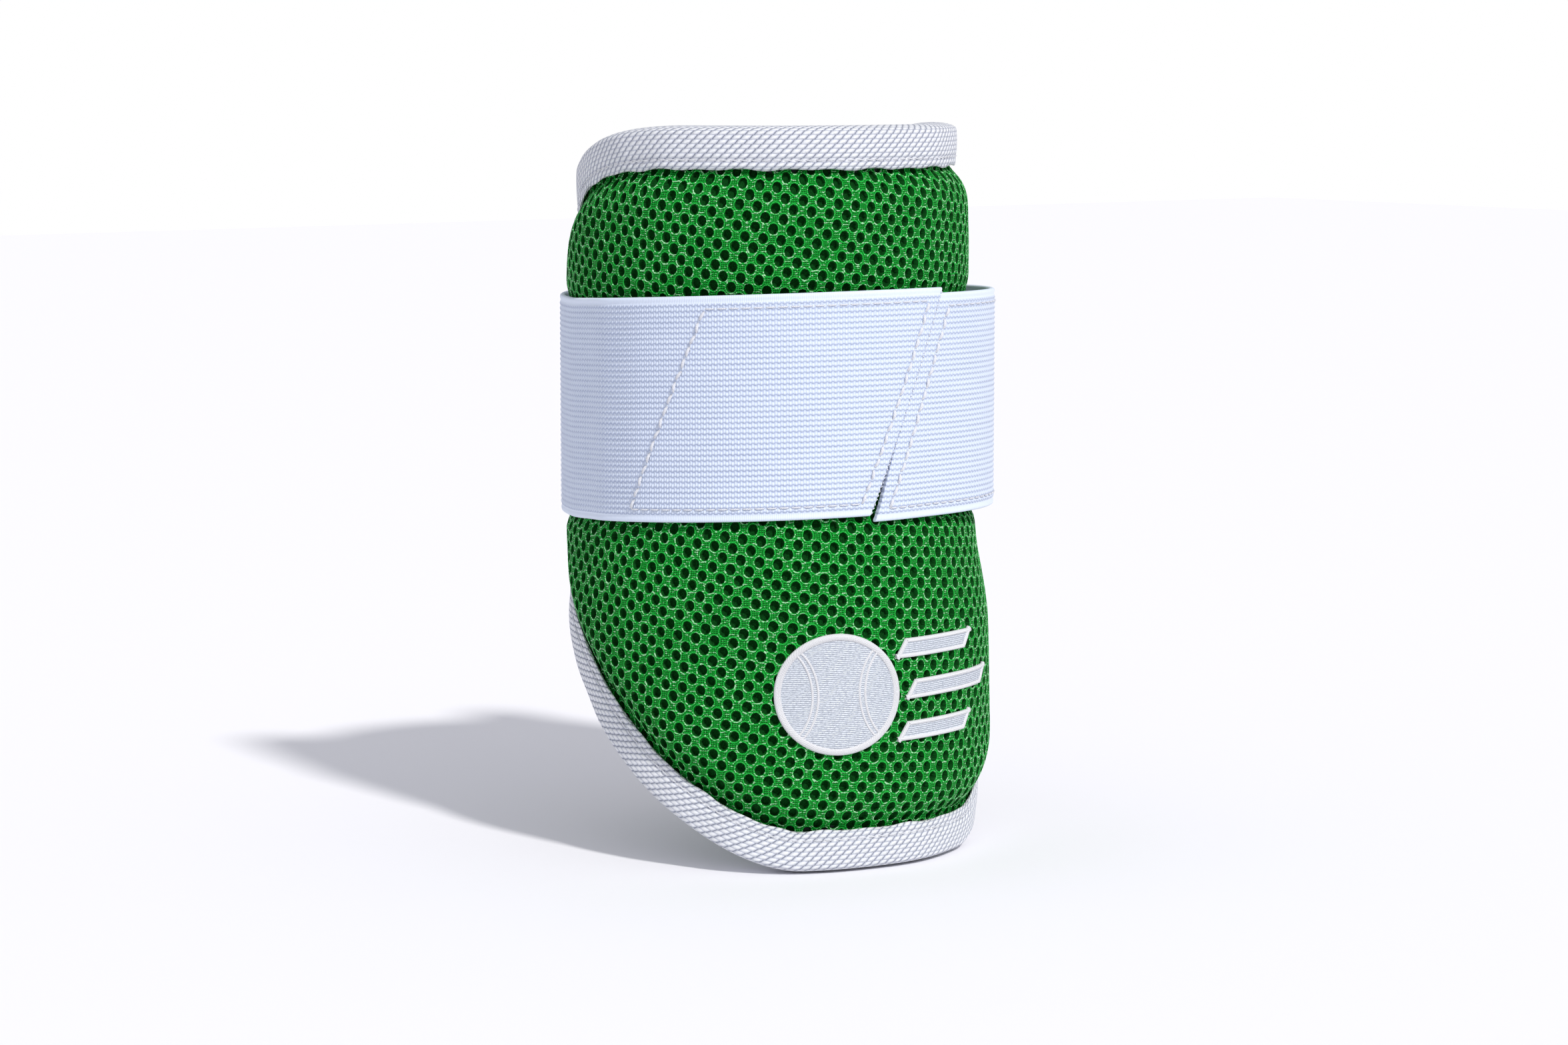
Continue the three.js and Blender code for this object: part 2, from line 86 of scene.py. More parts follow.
# ---------- camera ----------
CAMERA_AZIMUTH = -36.2
CAMERA_DISTANCE = 1.252
CAMERA_HEIGHT = 0.2534
AIM_RIGHT, AIM_HEIGHT = 0.0054, 0.1012
LENS, SENSOR_WIDTH = 88.9, 36
FLOOR_Z = -0.0012


def add_object(name, data):
    made = bpy.data.objects.new(name, data)
    bpy.context.scene.collection.objects.link(made)
    return made


def make_camera():
    data = bpy.data.cameras.new("camera")
    data.lens = LENS
    data.sensor_width = SENSOR_WIDTH
    camera = add_object("camera", data)
    turn = math.radians(CAMERA_AZIMUTH)
    right = Vector((math.cos(turn), math.sin(turn), 0))
    away = Vector((math.sin(turn), -math.cos(turn), 0))
    camera.location = away * CAMERA_DISTANCE + right * AIM_RIGHT + Vector((0, 0, CAMERA_HEIGHT))
    aim = right * AIM_RIGHT + Vector((0, 0, AIM_HEIGHT))
    camera.rotation_mode = "QUATERNION"
    camera.rotation_quaternion = (aim - camera.location).to_track_quat("-Z", "Y")
    bpy.context.scene.camera = camera


make_camera()


# ---------- the outline and the curved body ----------
def bezier(a, b, c, d, count):
    t = np.linspace(0, 1, count)[:, None]
    a, b, c, d = (np.array(p, float) for p in (a, b, c, d))
    return (1 - t) ** 3 * a + 3 * (1 - t) ** 2 * t * b + 3 * (1 - t) * t**2 * c + t**3 * d


def half_outline():
    """The right half of the outline as (s, z), from the bottom centre round to the top centre."""
    low = bezier((BOTTOM_FLAT, 0), *LOW_HANDLES, (HALF_WIDTH, WING_LOW), 60)
    high = bezier((HALF_WIDTH, WING_HIGH), *HIGH_HANDLES, (TOP_FLAT, HEIGHT), 50)
    return np.vstack([[(0, 0)], low, high, [(0, HEIGHT)]])


RIM = half_outline()


def edge_distance(s, z):
    """Distance in to the nearest point of the outline."""
    s, z = np.abs(np.asarray(s, float)), np.asarray(z, float)
    best = np.full(np.broadcast(s, z).shape, np.inf)
    for a, b in zip(RIM[:-1], RIM[1:]):
        step = b - a
        t = np.clip(((s - a[0]) * step[0] + (z - a[1]) * step[1]) / (step @ step), 0, 1)
        best = np.minimum(best, np.hypot(s - a[0] - t * step[0], z - a[1] - t * step[1]))
    return best


def half_width(z):
    """How far round the outline reaches at a height."""
    return np.interp(z, RIM[1:-1, 1], RIM[1:-1, 0])


def smooth(x, low, high):
    t = np.clip((np.asarray(x, float) - low) / (high - low), 0, 1)
    return t * t * (3 - 2 * t)


def strap_middle(angle, tip):
    """Height of the strap's middle line at an angle round the body, for an end whose tip is at a height."""
    side = np.sin(np.abs(angle) / 2) ** 2
    return tip + (BACK_MIDDLE - tip) * np.minimum(1, TIP_FADE * side)


def fade_up(z, swell):
    """The depth of FLARE or FORWARD at a height."""
    depth, full, none = swell
    return depth * (1 - smooth(z, full, none))


def seat_depth(s, z):
    """How far the strap presses the padding in: it also holds in what swells out below it."""
    angle = np.asarray(s) / BODY_RADIUS
    tip = LEFT_TIP + (RIGHT_TIP - LEFT_TIP) * smooth(angle, CUT_BOTTOM, CUT_TOP)
    away = np.abs(z - strap_middle(angle, tip)) - STRAP_WIDTH / 2
    share = 1 - smooth(away, -SEAT_BLEND / 2, SEAT_BLEND / 2)
    return share * (STRAP_SEAT + fade_up(z, FLARE) + fade_up(z, FORWARD) * np.maximum(0, np.cos(angle)))


def pinch(d):
    """How much the padding is pinched at a distance from the edge, from 0 to 1."""
    return np.maximum(0, 1 - np.maximum(d - PINCH_FLAT, 0) / PINCH_SWELL) ** 3


def on_body(s, z, r):
    """Places in space: s round the body, z up, r out from the axis before the swell is added."""
    radius = r + fade_up(z, FLARE)
    angle = np.asarray(s) / BODY_RADIUS
    x = radius * np.sin(angle)
    y = -radius * np.cos(angle) - fade_up(z, FORWARD)
    return np.stack([x, y, z + 0 * radius], -1)


def pucker(s, z):
    """The foam isn't quite even: shallow swells and dips, none of them under the strap."""
    swell = np.sin(s / 9.0 + z / 21.0)
    swell = swell + 0.8 * np.sin(z / 8.5 - s / 27.0 + 1.3)
    swell = swell + 0.5 * np.sin(s / 5.1 - z / 14.0)
    return PUCKER * swell * smooth(np.abs(z - LEFT_TIP), PUCKER_FROM, PUCKER_FULL)


def outer_radius(s, z, d=None):
    d = edge_distance(s, z) if d is None else d
    return BODY_RADIUS - PINCH_OUTSIDE * pinch(d) - seat_depth(s, z) + pucker(s, z)


def inner_radius(d):
    return CHANNEL_RADIUS + PINCH_INSIDE * pinch(d)


# ---------- meshes ----------
def make_mesh(name, points, faces, uv=None, slots=None):
    """A mesh object from points in millimetres. uv holds one pair for each point, slots a number for each
    face."""
    mesh = bpy.data.meshes.new(name)
    mesh.from_pydata((np.asarray(points) * MM).tolist(), [], faces)
    if uv is not None:
        layer = mesh.uv_layers.new(name="Cloth")
        corner = np.zeros(len(mesh.loops), np.int32)
        mesh.loops.foreach_get("vertex_index", corner)
        layer.data.foreach_set("uv", np.asarray(uv, np.float32)[corner].ravel())
    if slots is not None:
        mesh.polygons.foreach_set("material_index", slots)
    mesh.polygons.foreach_set("use_smooth", [True] * len(mesh.polygons))
    mesh.update()
    return add_object(name, mesh)


def quads(rows, columns, offset=0, flip=False):
    """Faces of a grid of rows by columns, as a list."""
    index = np.arange(rows * columns).reshape(rows, columns) + offset
    a, b = index[:-1, :-1], index[:-1, 1:]
    c, d = index[1:, 1:], index[1:, :-1]
    order = (a, d, c, b) if flip else (a, b, c, d)
    return np.stack(order, -1).reshape(-1, 4).tolist()


def slab(name, outside, inside, uv):
    """A closed sheet with thickness. Both faces are (rows, columns, 3); seen from outside, columns run right
    and rows run up."""
    rows, columns = outside.shape[:2]
    face = rows * columns
    index = np.arange(face).reshape(rows, columns)
    faces = quads(rows, columns) + quads(rows, columns, face, flip=True)
    rim = np.concatenate([index[0, :-1], index[:-1, -1], index[-1, :0:-1], index[:0:-1, 0]])
    faces += [(int(b), int(a), int(a) + face, int(b) + face) for a, b in zip(rim, np.roll(rim, -1))]
    points = np.concatenate([outside.reshape(-1, 3), inside.reshape(-1, 3)])
    uv = np.asarray(uv).reshape(-1, 2)
    made = make_mesh(name, points, faces, np.concatenate([uv, uv]))
    made.data.set_sharp_from_angle(angle=math.radians(60))
    return made


def ring(name, sections):
    """A closed ring: sections is (stations, corners, 3), each section closed on itself. Its flat coordinates
    run on past the last station, so that the pattern has no jump but at one line round the section."""
    stations, corners = sections.shape[:2]
    index = np.arange(stations * corners).reshape(stations, corners)
    follow = np.roll(index, -1, 0)
    faces = np.stack([index, np.roll(index, -1, 1), np.roll(follow, -1, 1), follow], -1).reshape(-1, 4)
    made = make_mesh(name, sections.reshape(-1, 3), faces.tolist())
    ahead = np.linalg.norm(np.roll(sections, -1, 0) - sections, axis=2).mean(1)
    along = np.concatenate([[0], np.cumsum(ahead)])
    across = np.linalg.norm(np.roll(sections, -1, 1) - sections, axis=2).mean(0)
    width = np.concatenate([[0], np.cumsum(across)])
    i, k = np.divmod(np.arange(stations * corners), corners)
    x = np.stack([along[i], along[i], along[i + 1], along[i + 1]], -1)
    y = np.stack([width[k], width[k + 1], width[k + 1], width[k]], -1)
    layer = made.data.uv_layers.new(name="Cloth")
    layer.data.foreach_set("uv", np.stack([x, y], -1).astype(np.float32).ravel())
    return made


# ---------- materials ----------
class Look:
    """A material with its Principled shader and short calls for the nodes that feed it."""

    def __init__(self, name, **sockets):
        self.material = bpy.data.materials.new(name)
        self.material.use_nodes = True
        self.tree = self.material.node_tree
        self.shader = self.tree.nodes["Principled BSDF"]
        for socket, value in sockets.items():
            self.shader.inputs[socket.replace("_", " ")].default_value = value

    def node(self, kind, inputs=None, **settings):
        made = self.tree.nodes.new("ShaderNode" + kind)
        for key, value in settings.items():
            setattr(made, key, value)
        for key, value in (inputs or {}).items():
            if isinstance(value, bpy.types.NodeSocket):
                self.tree.links.new(value, made.inputs[key])
            else:
                made.inputs[key].default_value = value
        return made

    def math(self, operation, a, b=0.0, c=0.0):
        return self.node("Math", {0: a, 1: b, 2: c}, operation=operation).outputs[0]

    def mul(self, a, b):
        return self.math("MULTIPLY", a, b)

    def mul_add(self, a, b, c):
        return self.math("MULTIPLY_ADD", a, b, c)

    def cloth(self):
        """The piece's own flat coordinates in millimetres, as separate sockets."""
        flat = self.node("UVMap", uv_map="Cloth").outputs[0]
        split = self.node("SeparateXYZ", {0: flat})
        return flat, split.outputs[0], split.outputs[1]

    def noise(self, vector, scale, detail=2.0, roughness=0.5, stretch=None):
        if stretch:
            vector = self.node("Mapping", {0: vector, "Scale": (*stretch, 1)}).outputs[0]
        inputs = {"Vector": vector, "Scale": scale, "Detail": detail, "Roughness": roughness}
        return self.node("TexNoise", inputs).outputs[0]

    def ramp(self, value, stops):
        made = self.node("ValToRGB", {0: value})
        band = made.color_ramp
        while len(band.elements) < len(stops):
            band.elements.new(0.5)
        for element, (place, colour) in zip(band.elements, stops):
            element.position = place
            element.color = (*colour, 1)
        return made.outputs[0]

    def paint(self, value, stops):
        return self.join(self.ramp(value, stops), "Base Color")

    def wave(self, x, pitch):
        """A cosine of x with this pitch, from 0 to 1."""
        turned = self.mul(x, 2 * math.pi / pitch)
        return self.mul_add(self.math("COSINE", turned), 0.5, 0.5)

    def bump(self, height, distance):
        """distance is in millimetres for a height of 1."""
        made = self.node("Bump", {"Height": height, "Distance": distance * MM, "Strength": 1.0})
        return self.join(made.outputs[0], "Normal")

    def join(self, socket, target):
        self.tree.links.new(socket, self.shader.inputs[target])
        return self


def lattice_sockets(look, x, y):
    """Steps of the hole lattice at flat coordinates: whole pairs with an even sum are hole centres."""
    z = look.math("SUBTRACT", y, HEIGHT / 2)
    cos, sin = math.cos(GRAIN_TILT), math.sin(GRAIN_TILT)
    across = look.mul_add(z, -sin, look.mul(x, cos))
    up = look.mul_add(z, cos, look.mul(x, sin))
    return look.math("DIVIDE", across, HOLE_PITCH / 2), look.math("DIVIDE", up, ROW_PITCH / 2)


def mesh_yarn():
    """Knitted face of the air mesh: a yarn round every hole, a ladder of rungs between holes that lie side
    by side, and loops of chain stitch between holes that lie one above another."""
    look = Look("air_mesh_yarn", Roughness=0.4, Specular_IOR_Level=0.1)
    flat, x, y = look.cloth()
    a, b = lattice_sockets(look, x, y)
    fuzz = look.noise(flat, 1.7, 3.0, 0.6)

    def from_centre(shift):
        """Millimetres to the nearest hole centre of one of the two sets, and how far above it."""
        to_side = look.math("WRAP", look.math("ADD", a, shift), 1.0, -1.0)
        to_top = look.math("WRAP", look.math("ADD", b, shift), 1.0, -1.0)
        side = look.mul(to_side, HOLE_PITCH / 2)
        top = look.mul(to_top, ROW_PITCH / 2 * HOLE_WIDE / HOLE_TALL)
        squares = look.math("ADD", look.mul(side, side), look.mul(top, top))
        return look.math("SQRT", squares), top

    (near, near_top), (other, other_top) = from_centre(0.0), from_centre(1.0)
    is_near = look.math("LESS_THAN", near, other)
    above = look.mul_add(is_near, look.math("SUBTRACT", near_top, other_top), other_top)
    nearest = look.math("MINIMUM", near, other)
    away = look.mul_add(fuzz, 0.3, look.math("SUBTRACT", nearest, 0.15))
    # A bright cord that hugs the hole, and the knit between the cords of neighbouring holes.
    off_cord = look.math("ABSOLUTE", look.math("SUBTRACT", away, HOLE_WIDE + CORD_OUT))
    cord = look.math("MAXIMUM", look.math("SUBTRACT", 1.0, look.math("DIVIDE", off_cord, CORD_HALF)), 0.0)
    twist = look.wave(look.math("ADD", look.mul(x, 0.8), y), TWIST_PITCH)
    rungs = look.wave(look.mul_add(fuzz, 0.25, y), RUNG_PITCH)
    chains = look.wave(look.mul_add(rungs, 0.3, x), CHAIN_PITCH)
    between = look.math("GREATER_THAN", away, HOLE_WIDE + KNIT_FROM)
    ladder = look.mul_add(rungs, 0.42, look.mul(chains, 0.22))
    knit = look.mul(between, ladder)
    corded = look.mul(cord, look.mul_add(twist, 0.35, 0.66))
    yarn = look.math("MAXIMUM", corded, knit)
    yarn = look.mul(yarn, look.mul_add(fuzz, 0.9, 0.55))
    stops = [(0.04, (0.0, 0.05, 0.002)), (0.3, (0.001, 0.2, 0.014)), (0.6, (0.006, 0.43, 0.042)),
             (0.95, (0.06, 0.7, 0.12))]
    green = look.ramp(yarn, stops)
    # Painted highlights: the base colour turns pale green-white in short dashes on the yarn, most of all on
    # the lower rims, which face the light.
    glint_spots = look.noise(flat, 1.0, 1.0, 0.4, stretch=(0.8, 1.7))
    lit_low_rim = look.math("LESS_THAN", above, -0.3 * HOLE_WIDE)
    glint_chance = look.mul_add(lit_low_rim, look.mul(cord, 0.11), glint_spots)
    in_glint = look.math("GREATER_THAN", glint_chance, 0.62)
    on_yarn = look.math("GREATER_THAN", yarn, 0.33)
    painted_glint = look.mul(in_glint, on_yarn)
    # Mixes the painted highlight's pale green-white into the yarn colour.
    mix = look.node("Mix", {0: look.mul(painted_glint, 0.8)}, data_type="RGBA")
    look.tree.links.new(green, mix.inputs[6])
    mix.inputs[7].default_value = (0.5, 0.88, 0.54, 1)
    look.join(mix.outputs[2], "Base Color")
    return look.bump(yarn, 0.45).material


def mesh_depth():
    """The backing knit on the floors and walls of the holes, coloured a far darker green than the face:
    painted shade in the holes.
    """
    look = Look("air_mesh_depth", Roughness=0.8, Specular_IOR_Level=0.08)
    flat, _, _ = look.cloth()
    speck = look.noise(flat, 2.4, 3.0, 0.6)
    look.paint(speck, [(0.35, (0.0008, 0.03, 0.003)), (0.75, (0.003, 0.1, 0.012))])
    return look.bump(speck, 0.3).material


def tape_weave():
    """Woven polyester binding: rows of plump floats of weft. Flat x runs along the tape and y across it, from
    its free edge on the outside."""
    look = Look("binding_weave", Roughness=0.48, Sheen_Weight=0.12)
    flat, x, y = look.cloth()
    wobble = look.noise(flat, 0.35, 2.0)
    row = look.math("DIVIDE", look.mul_add(wobble, 0.35, y), FLOAT_ROW)
    # Each row starts further along than the last and its floats lean, which draws the diagonals.
    leaning = look.mul_add(look.math("FLOOR", row), 0.3, look.mul(row, 0.7))
    offset = look.mul(leaning, FLOAT_STEP)
    along = look.math("WRAP", look.math("DIVIDE", look.math("ADD", x, offset), FLOAT_LENGTH), 1.0, 0.0)
    rise = look.math("SINE", look.mul(along, math.pi))
    belly = look.math("SINE", look.mul(look.math("FRACT", row), math.pi))
    rounded = look.mul_add(belly, 0.7, 0.3)
    plump = look.math("POWER", look.mul(rise, rounded), 0.6)
    fibre = look.noise(flat, 2.6, 2.0, stretch=(0.6, 4.5))
    weave = look.mul_add(fibre, 0.22, look.mul(plump, 0.86))
    # The colour darkens and turns bluish where the floats dip: painted shade between the floats, with tone
    # from the fibre noise.
    stops = [(0.08, (0.20, 0.22, 0.30)), (0.42, (0.58, 0.62, 0.75)), (0.82, (0.94, 0.96, 1.0))]
    look.paint(weave, stops)
    return look.bump(weave, 1.0).material


def elastic_knit():
    """Woven elastic: courses of small upright stitches, each course a rib that the surface itself carries."""
    look = Look("elastic_knit", Roughness=0.62, Sheen_Weight=0.2, Sheen_Roughness=0.5)
    flat, x, y = look.cloth()
    fuzz = look.noise(flat, 1.3, 3.0, 0.6)
    drift = look.noise(flat, 1.0, 1.0, stretch=(0.05, 0.6))
    column = look.mul_add(fuzz, 0.12, x)
    stitches = look.wave(column, STITCH_PITCH)
    # Neighbouring stitches sit a little higher and lower, so the groove between two courses is a zigzag.
    zigzag = look.mul_add(look.wave(column, 2 * STITCH_PITCH), 0.42, y)
    course = look.wave(zigzag, RIB_PITCH)
    field = look.math("GREATER_THAN", STRAP_WIDTH / 2 - SELVEDGE - 0.2, look.math("ABSOLUTE", y))
    edge = look.wave(x, 0.55)
    upright = look.mul_add(stitches, 0.55, 0.45)
    deep = look.mul(upright, look.math("POWER", course, 0.55))
    height = look.mul(deep, field)
    # Outside the field lies the selvedge, which has no courses.
    corded = look.mul_add(edge, 0.2, 0.7)
    height = look.mul_add(corded, look.math("SUBTRACT", 1.0, field), height)
    shade = look.mul_add(drift, 0.16, look.mul(height, 0.72))
    shade = look.mul_add(fuzz, 0.2, shade)
    stops = [(0.12, (0.34, 0.40, 0.58)), (0.42, (0.57, 0.65, 0.83)), (0.7, (0.69, 0.77, 0.93)),
             (1.0, (0.81, 0.88, 1.0))]
    look.paint(shade, stops)
    return look.bump(height, 0.3).material


def brushed_lining():
    """Soft brushed knit against the arm."""
    look = Look("brushed_lining", Roughness=0.95, Sheen_Weight=0.6)
    flat, x, _ = look.cloth()
    nap = look.noise(flat, 1.6, 4.0, 0.7)
    wale = look.wave(look.mul_add(nap, 0.5, x), 1.1)
    mixed = look.mul_add(wale, 0.35, look.mul(nap, 0.65))
    look.paint(mixed, [(0.2, (0.006, 0.075, 0.015)), (0.8, (0.016, 0.19, 0.036))])
    return look.bump(mixed, 0.35).material


def loop_pile():
    """Curled loops in uneven tufts."""
    look = Look("loop_pile", Roughness=0.95, Sheen_Weight=0.5)
    flat, _, _ = look.cloth()
    curls = look.noise(flat, 0.9, 4.0, 0.75)
    tufts = look.noise(flat, 0.16, 2.0, 0.5)
    pile = look.mul_add(tufts, 0.5, look.mul(curls, 0.7))
    stops = [(0.4, (0.42, 0.44, 0.5)), (0.6, (0.74, 0.76, 0.82)), (0.75, (0.88, 0.9, 0.95))]
    look.paint(pile, stops)
    return look.bump(pile, 1.6).material


def hook_tape():
    """Hooks in rows."""
    look = Look("hook_tape", Roughness=0.45)
    _, x, y = look.cloth()
    rows = look.mul(look.wave(x, 1.1), look.wave(y, 1.3))
    look.paint(rows, [(0.1, (0.5, 0.51, 0.55)), (0.6, (0.82, 0.83, 0.87))])
    return look.bump(rows, 0.5).material


def white_thread(name="white_thread", pale=(0.95, 0.96, 1.0), dim=(0.68, 0.7, 0.78)):
    """Twisted thread, its ply running round it."""
    look = Look(name, Roughness=0.38, Sheen_Weight=0.2)
    _, x, y = look.cloth()
    ply = look.wave(look.math("ADD", x, y), 0.5)
    look.paint(ply, [(0.1, dim), (0.7, pale)])
    return look.bump(ply, 0.12).material


def embroidery_fill():
    """Flat tatami fill: rows of short stitches with needle points between them."""
    look = Look("embroidery_fill", Roughness=0.45)
    flat, _, y = look.cloth()
    lines = look.wave(y, 0.6)
    points = look.noise(flat, 1.6, 1.0, stretch=(0.7, 2.4))
    gaps = look.math("GREATER_THAN", points, 0.56)
    height = look.mul_add(lines, 0.6, look.mul(gaps, -0.35))
    stops = [(0.0, (0.42, 0.46, 0.54)), (0.35, (0.70, 0.75, 0.83)), (0.7, (0.88, 0.92, 0.98))]
    look.paint(height, stops)
    return look.bump(height, 0.3).material


def foam_cells(name, colour, lighter):
    look = Look(name, Roughness=0.9)
    where = look.node("TexCoord").outputs["Object"]
    cells = look.noise(where, 900.0, 3.0, 0.6)
    look.paint(cells, [(0.3, colour), (0.7, lighter)])
    return look.bump(cells, 0.3).material


def moulded_plastic():
    look = Look("moulded_plastic", Roughness=0.4)
    where = look.node("TexCoord").outputs["Object"]
    grain = look.noise(where, 500.0, 3.0, 0.55)
    look.paint(grain, [(0.3, (0.012, 0.012, 0.014)), (0.7, (0.03, 0.03, 0.034))])
    return look.bump(grain, 0.08).material


YARN, DEPTH, WEAVE = mesh_yarn(), mesh_depth(), tape_weave()
ELASTIC, LINING, PILE, HOOKS = elastic_knit(), brushed_lining(), loop_pile(), hook_tape()
THREAD, FILL = white_thread(), embroidery_fill()
SATIN = white_thread("satin_stitch", (0.93, 0.93, 0.95), (0.72, 0.73, 0.78))
SOFT_FOAM = foam_cells("soft_foam", (0.04, 0.045, 0.05), (0.07, 0.075, 0.08))
IMPACT_FOAM = foam_cells("impact_foam", (0.015, 0.016, 0.018), (0.03, 0.032, 0.035))
PLASTIC = moulded_plastic()


def finish_piece(piece, slot, body, nodes, *materials, ride=True):
    """The calls that every piece needs: its materials, what it stands for and its body. Its slot is not used.
    """
    for material in materials:
        piece.data.materials.append(material)
    if nodes:
        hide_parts(*nodes)
    if ride:
        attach(piece, body)


# ---------- air mesh ----------
# Depths of the holes' floors and of the cover's back, how far from a hole its crest lies, and how near to the
# outline a hole's centre may be. Between holes the knit sags, most where it is widest.
MESH_DEPTH, MESH_BACK, CREST, MESH_CUT = 1.7, 2.3, 0.42, 6.0
SAG_WIDE, SAG = 0.16, 0.05
LATTICE_REACH = 90
HOLE_JITTER, HOLE_SHIFT = 0.05, 0.06


def lattice_cells():
    """Whole-number places of the holes, which lie at pairs with an even sum."""
    steps = np.arange(-LATTICE_REACH, LATTICE_REACH + 1)
    p, q = np.meshgrid(steps, steps)
    keep = (p + q) % 2 == 0
    return p[keep], q[keep]


def lattice_place(p, q):
    """Flat coordinates of a place in the lattice, which needn't be whole."""
    across, up = p * HOLE_PITCH / 2, q * ROW_PITCH / 2
    s = across * math.cos(GRAIN_TILT) + up * math.sin(GRAIN_TILT)
    z = HEIGHT / 2 - across * math.sin(GRAIN_TILT) + up * math.cos(GRAIN_TILT)
    return s, z


# The eight points of a cell's edge, in half steps of the lattice, and the same eight directions round a hole.
CELL_EDGE = np.array([(2, 0), (1, 1), (0, 2), (-1, 1), (-2, 0), (-1, -1), (0, -2), (1, -1)])


def air_mesh():
    p, q = lattice_cells()
    s, z = lattice_place(p, q)
    inside = (np.abs(s) < HALF_WIDTH) & (z > 0) & (z < HEIGHT)
    p, q, s, z = p[inside], q[inside], s[inside], z[inside]
    inside = (edge_distance(s, z) > MESH_CUT) & (np.abs(s) < half_width(z))
    p, q = p[inside], q[inside]
    count = len(p)
    sides = len(CELL_EDGE)

    corner = np.stack([2 * p, 2 * q], -1)[:, None, :] + CELL_EDGE[None]
    key, shared = np.unique(corner.reshape(-1, 2), axis=0, return_inverse=True)
    shared = shared.reshape(count, sides)
    whole = (key % 2 == 0).all(axis=1)
    odd_sum = (key // 2).sum(axis=1) % 2 == 1
    sag = np.where(whole & odd_sum, SAG_WIDE, SAG)
    edge_s, edge_z = lattice_place(key[:, 0] / 2, key[:, 1] / 2)

    angle = np.arctan2(CELL_EDGE[:, 1] * ROW_PITCH, CELL_EDGE[:, 0] * HOLE_PITCH)
    # No two holes are quite alike in size or in outline.
    size = 1 + HOLE_JITTER * RNG.standard_normal(count)[:, None]
    size = size + HOLE_JITTER * RNG.standard_normal((count, sides))
    shift = HOLE_SHIFT * RNG.standard_normal((count, 2))

    def hole_ring(grow):
        across = (HOLE_WIDE + grow) * size * np.cos(angle) + shift[:, :1]
        up = (HOLE_TALL + grow) * size * np.sin(angle) + shift[:, 1:]
        return lattice_place(p[:, None] + across / (HOLE_PITCH / 2), q[:, None] + up / (ROW_PITCH / 2))

    # The crest round the hole, the hole's rim and the foot of its wall: how much wider, and how high.
    rings = [(CREST, 0.0), (0.0, -0.2), (-0.04, -MESH_DEPTH)]
    flat_s, flat_z, lift = [edge_s], [edge_z], [-sag]
    for grow, height in rings:
        ring_s, ring_z = hole_ring(grow)
        flat_s.append(ring_s.ravel())
        flat_z.append(ring_z.ravel())
        lift.append(np.full(count * sides, height))
    flat_s.append(edge_s)
    flat_z.append(edge_z)
    lift.append(np.full(len(edge_s), -MESH_BACK))
    flat_s, flat_z, lift = (np.concatenate(part) for part in (flat_s, flat_z, lift))
    points = on_body(flat_s, flat_z, outer_radius(flat_s, flat_z) + lift)

    first = len(edge_s)
    corners = np.arange(count * sides).reshape(count, sides)
    loops = [shared] + [first + k * count * sides + corners for k in range(len(rings))]
    faces, slots = [], []
    for k, (outer, inner) in enumerate(zip(loops[:-1], loops[1:])):
        walls = np.stack([outer, np.roll(outer, -1, 1), np.roll(inner, -1, 1), inner], -1).reshape(-1, 4)
        faces += walls.tolist()
        # The last step, the wall down into the hole, takes the dark material of the hole's floor: painted
        # shade down in the hole.
        slots += [int(k == len(rings) - 1)] * len(walls)
    faces += loops[-1].tolist()
    slots += [1] * count
    back = first + len(rings) * count * sides
    faces += (back + shared[:, ::-1]).tolist()
    slots += [1] * count
    # The edges that only one cell has are the border, which is walled down to the back.
    edges = np.stack([shared, np.roll(shared, -1, 1)], -1).reshape(-1, 2)
    used = {(int(a), int(b)) for a, b in edges}
    border = sorted((a, b) for a, b in used if (b, a) not in used)
    faces += [(b, a, back + a, back + b) for a, b in border]
    slots += [0] * len(border)
    uv = np.stack([flat_s, flat_z], -1)
    made = make_mesh("air_mesh_cover", points, faces, uv, slots=slots)
    finish_piece(made, "air_mesh", "guard", ["outer_mesh_cover"], YARN, DEPTH)


air_mesh()


# ---------- layers inside the cover ----------
def crowded(count, crowding):
    """Steps from -1 to 1 that crowd towards both ends."""
    turn = crowding * math.pi
    return np.sin(np.linspace(-1, 1, count + 1) * turn) / math.sin(turn)


LAYER_INSET = 1.2
CROWD_UP, CROWD_ROUND = 0.47, 0.36


def reach_at(z, inset):
    """How far round each height runs before it comes within an inset of the outline."""
    low, high = np.zeros_like(z), half_width(z)
    for _ in range(16):
        middle = (low + high) / 2
        near = edge_distance(middle, z) < inset - 0.01
        low, high = np.where(near, low, middle), np.where(near, middle, high)
    return low


def layer_grid(rows=60, columns=110):
    z = HEIGHT / 2 + crowded(rows, CROWD_UP) * (HEIGHT / 2 - LAYER_INSET)
    s = reach_at(z, LAYER_INSET)[:, None] * crowded(columns, CROWD_ROUND)[None]
    z = np.broadcast_to(z[:, None], s.shape)
    return s, z, edge_distance(s, z)


GRID = layer_grid()
MESH_THICK, MESH_EDGE = 2.5, 1.6
FOAM_THICK, FOAM_EDGE = 2.6, 1.2
LINING_THICK, LINING_FIT, LINING_WAVE, FIT_GAP = 0.8, 0.5, 0.25, 0.3
PLATE_THICK, PLATE_HALF, PLATE_INSET, PLATE_MARGIN, PLATE_CLEAR = 2.2, 86.0, 28.0, 6.0, 1.6


def layer(name, outside, inside, slot, node, material, fill=None):
    s, z, _ = GRID
    made = slab(name, on_body(s, z, outside), on_body(s, z, inside), np.stack([s, z], -1))
    finish_piece(made, slot, "guard", [node], material)


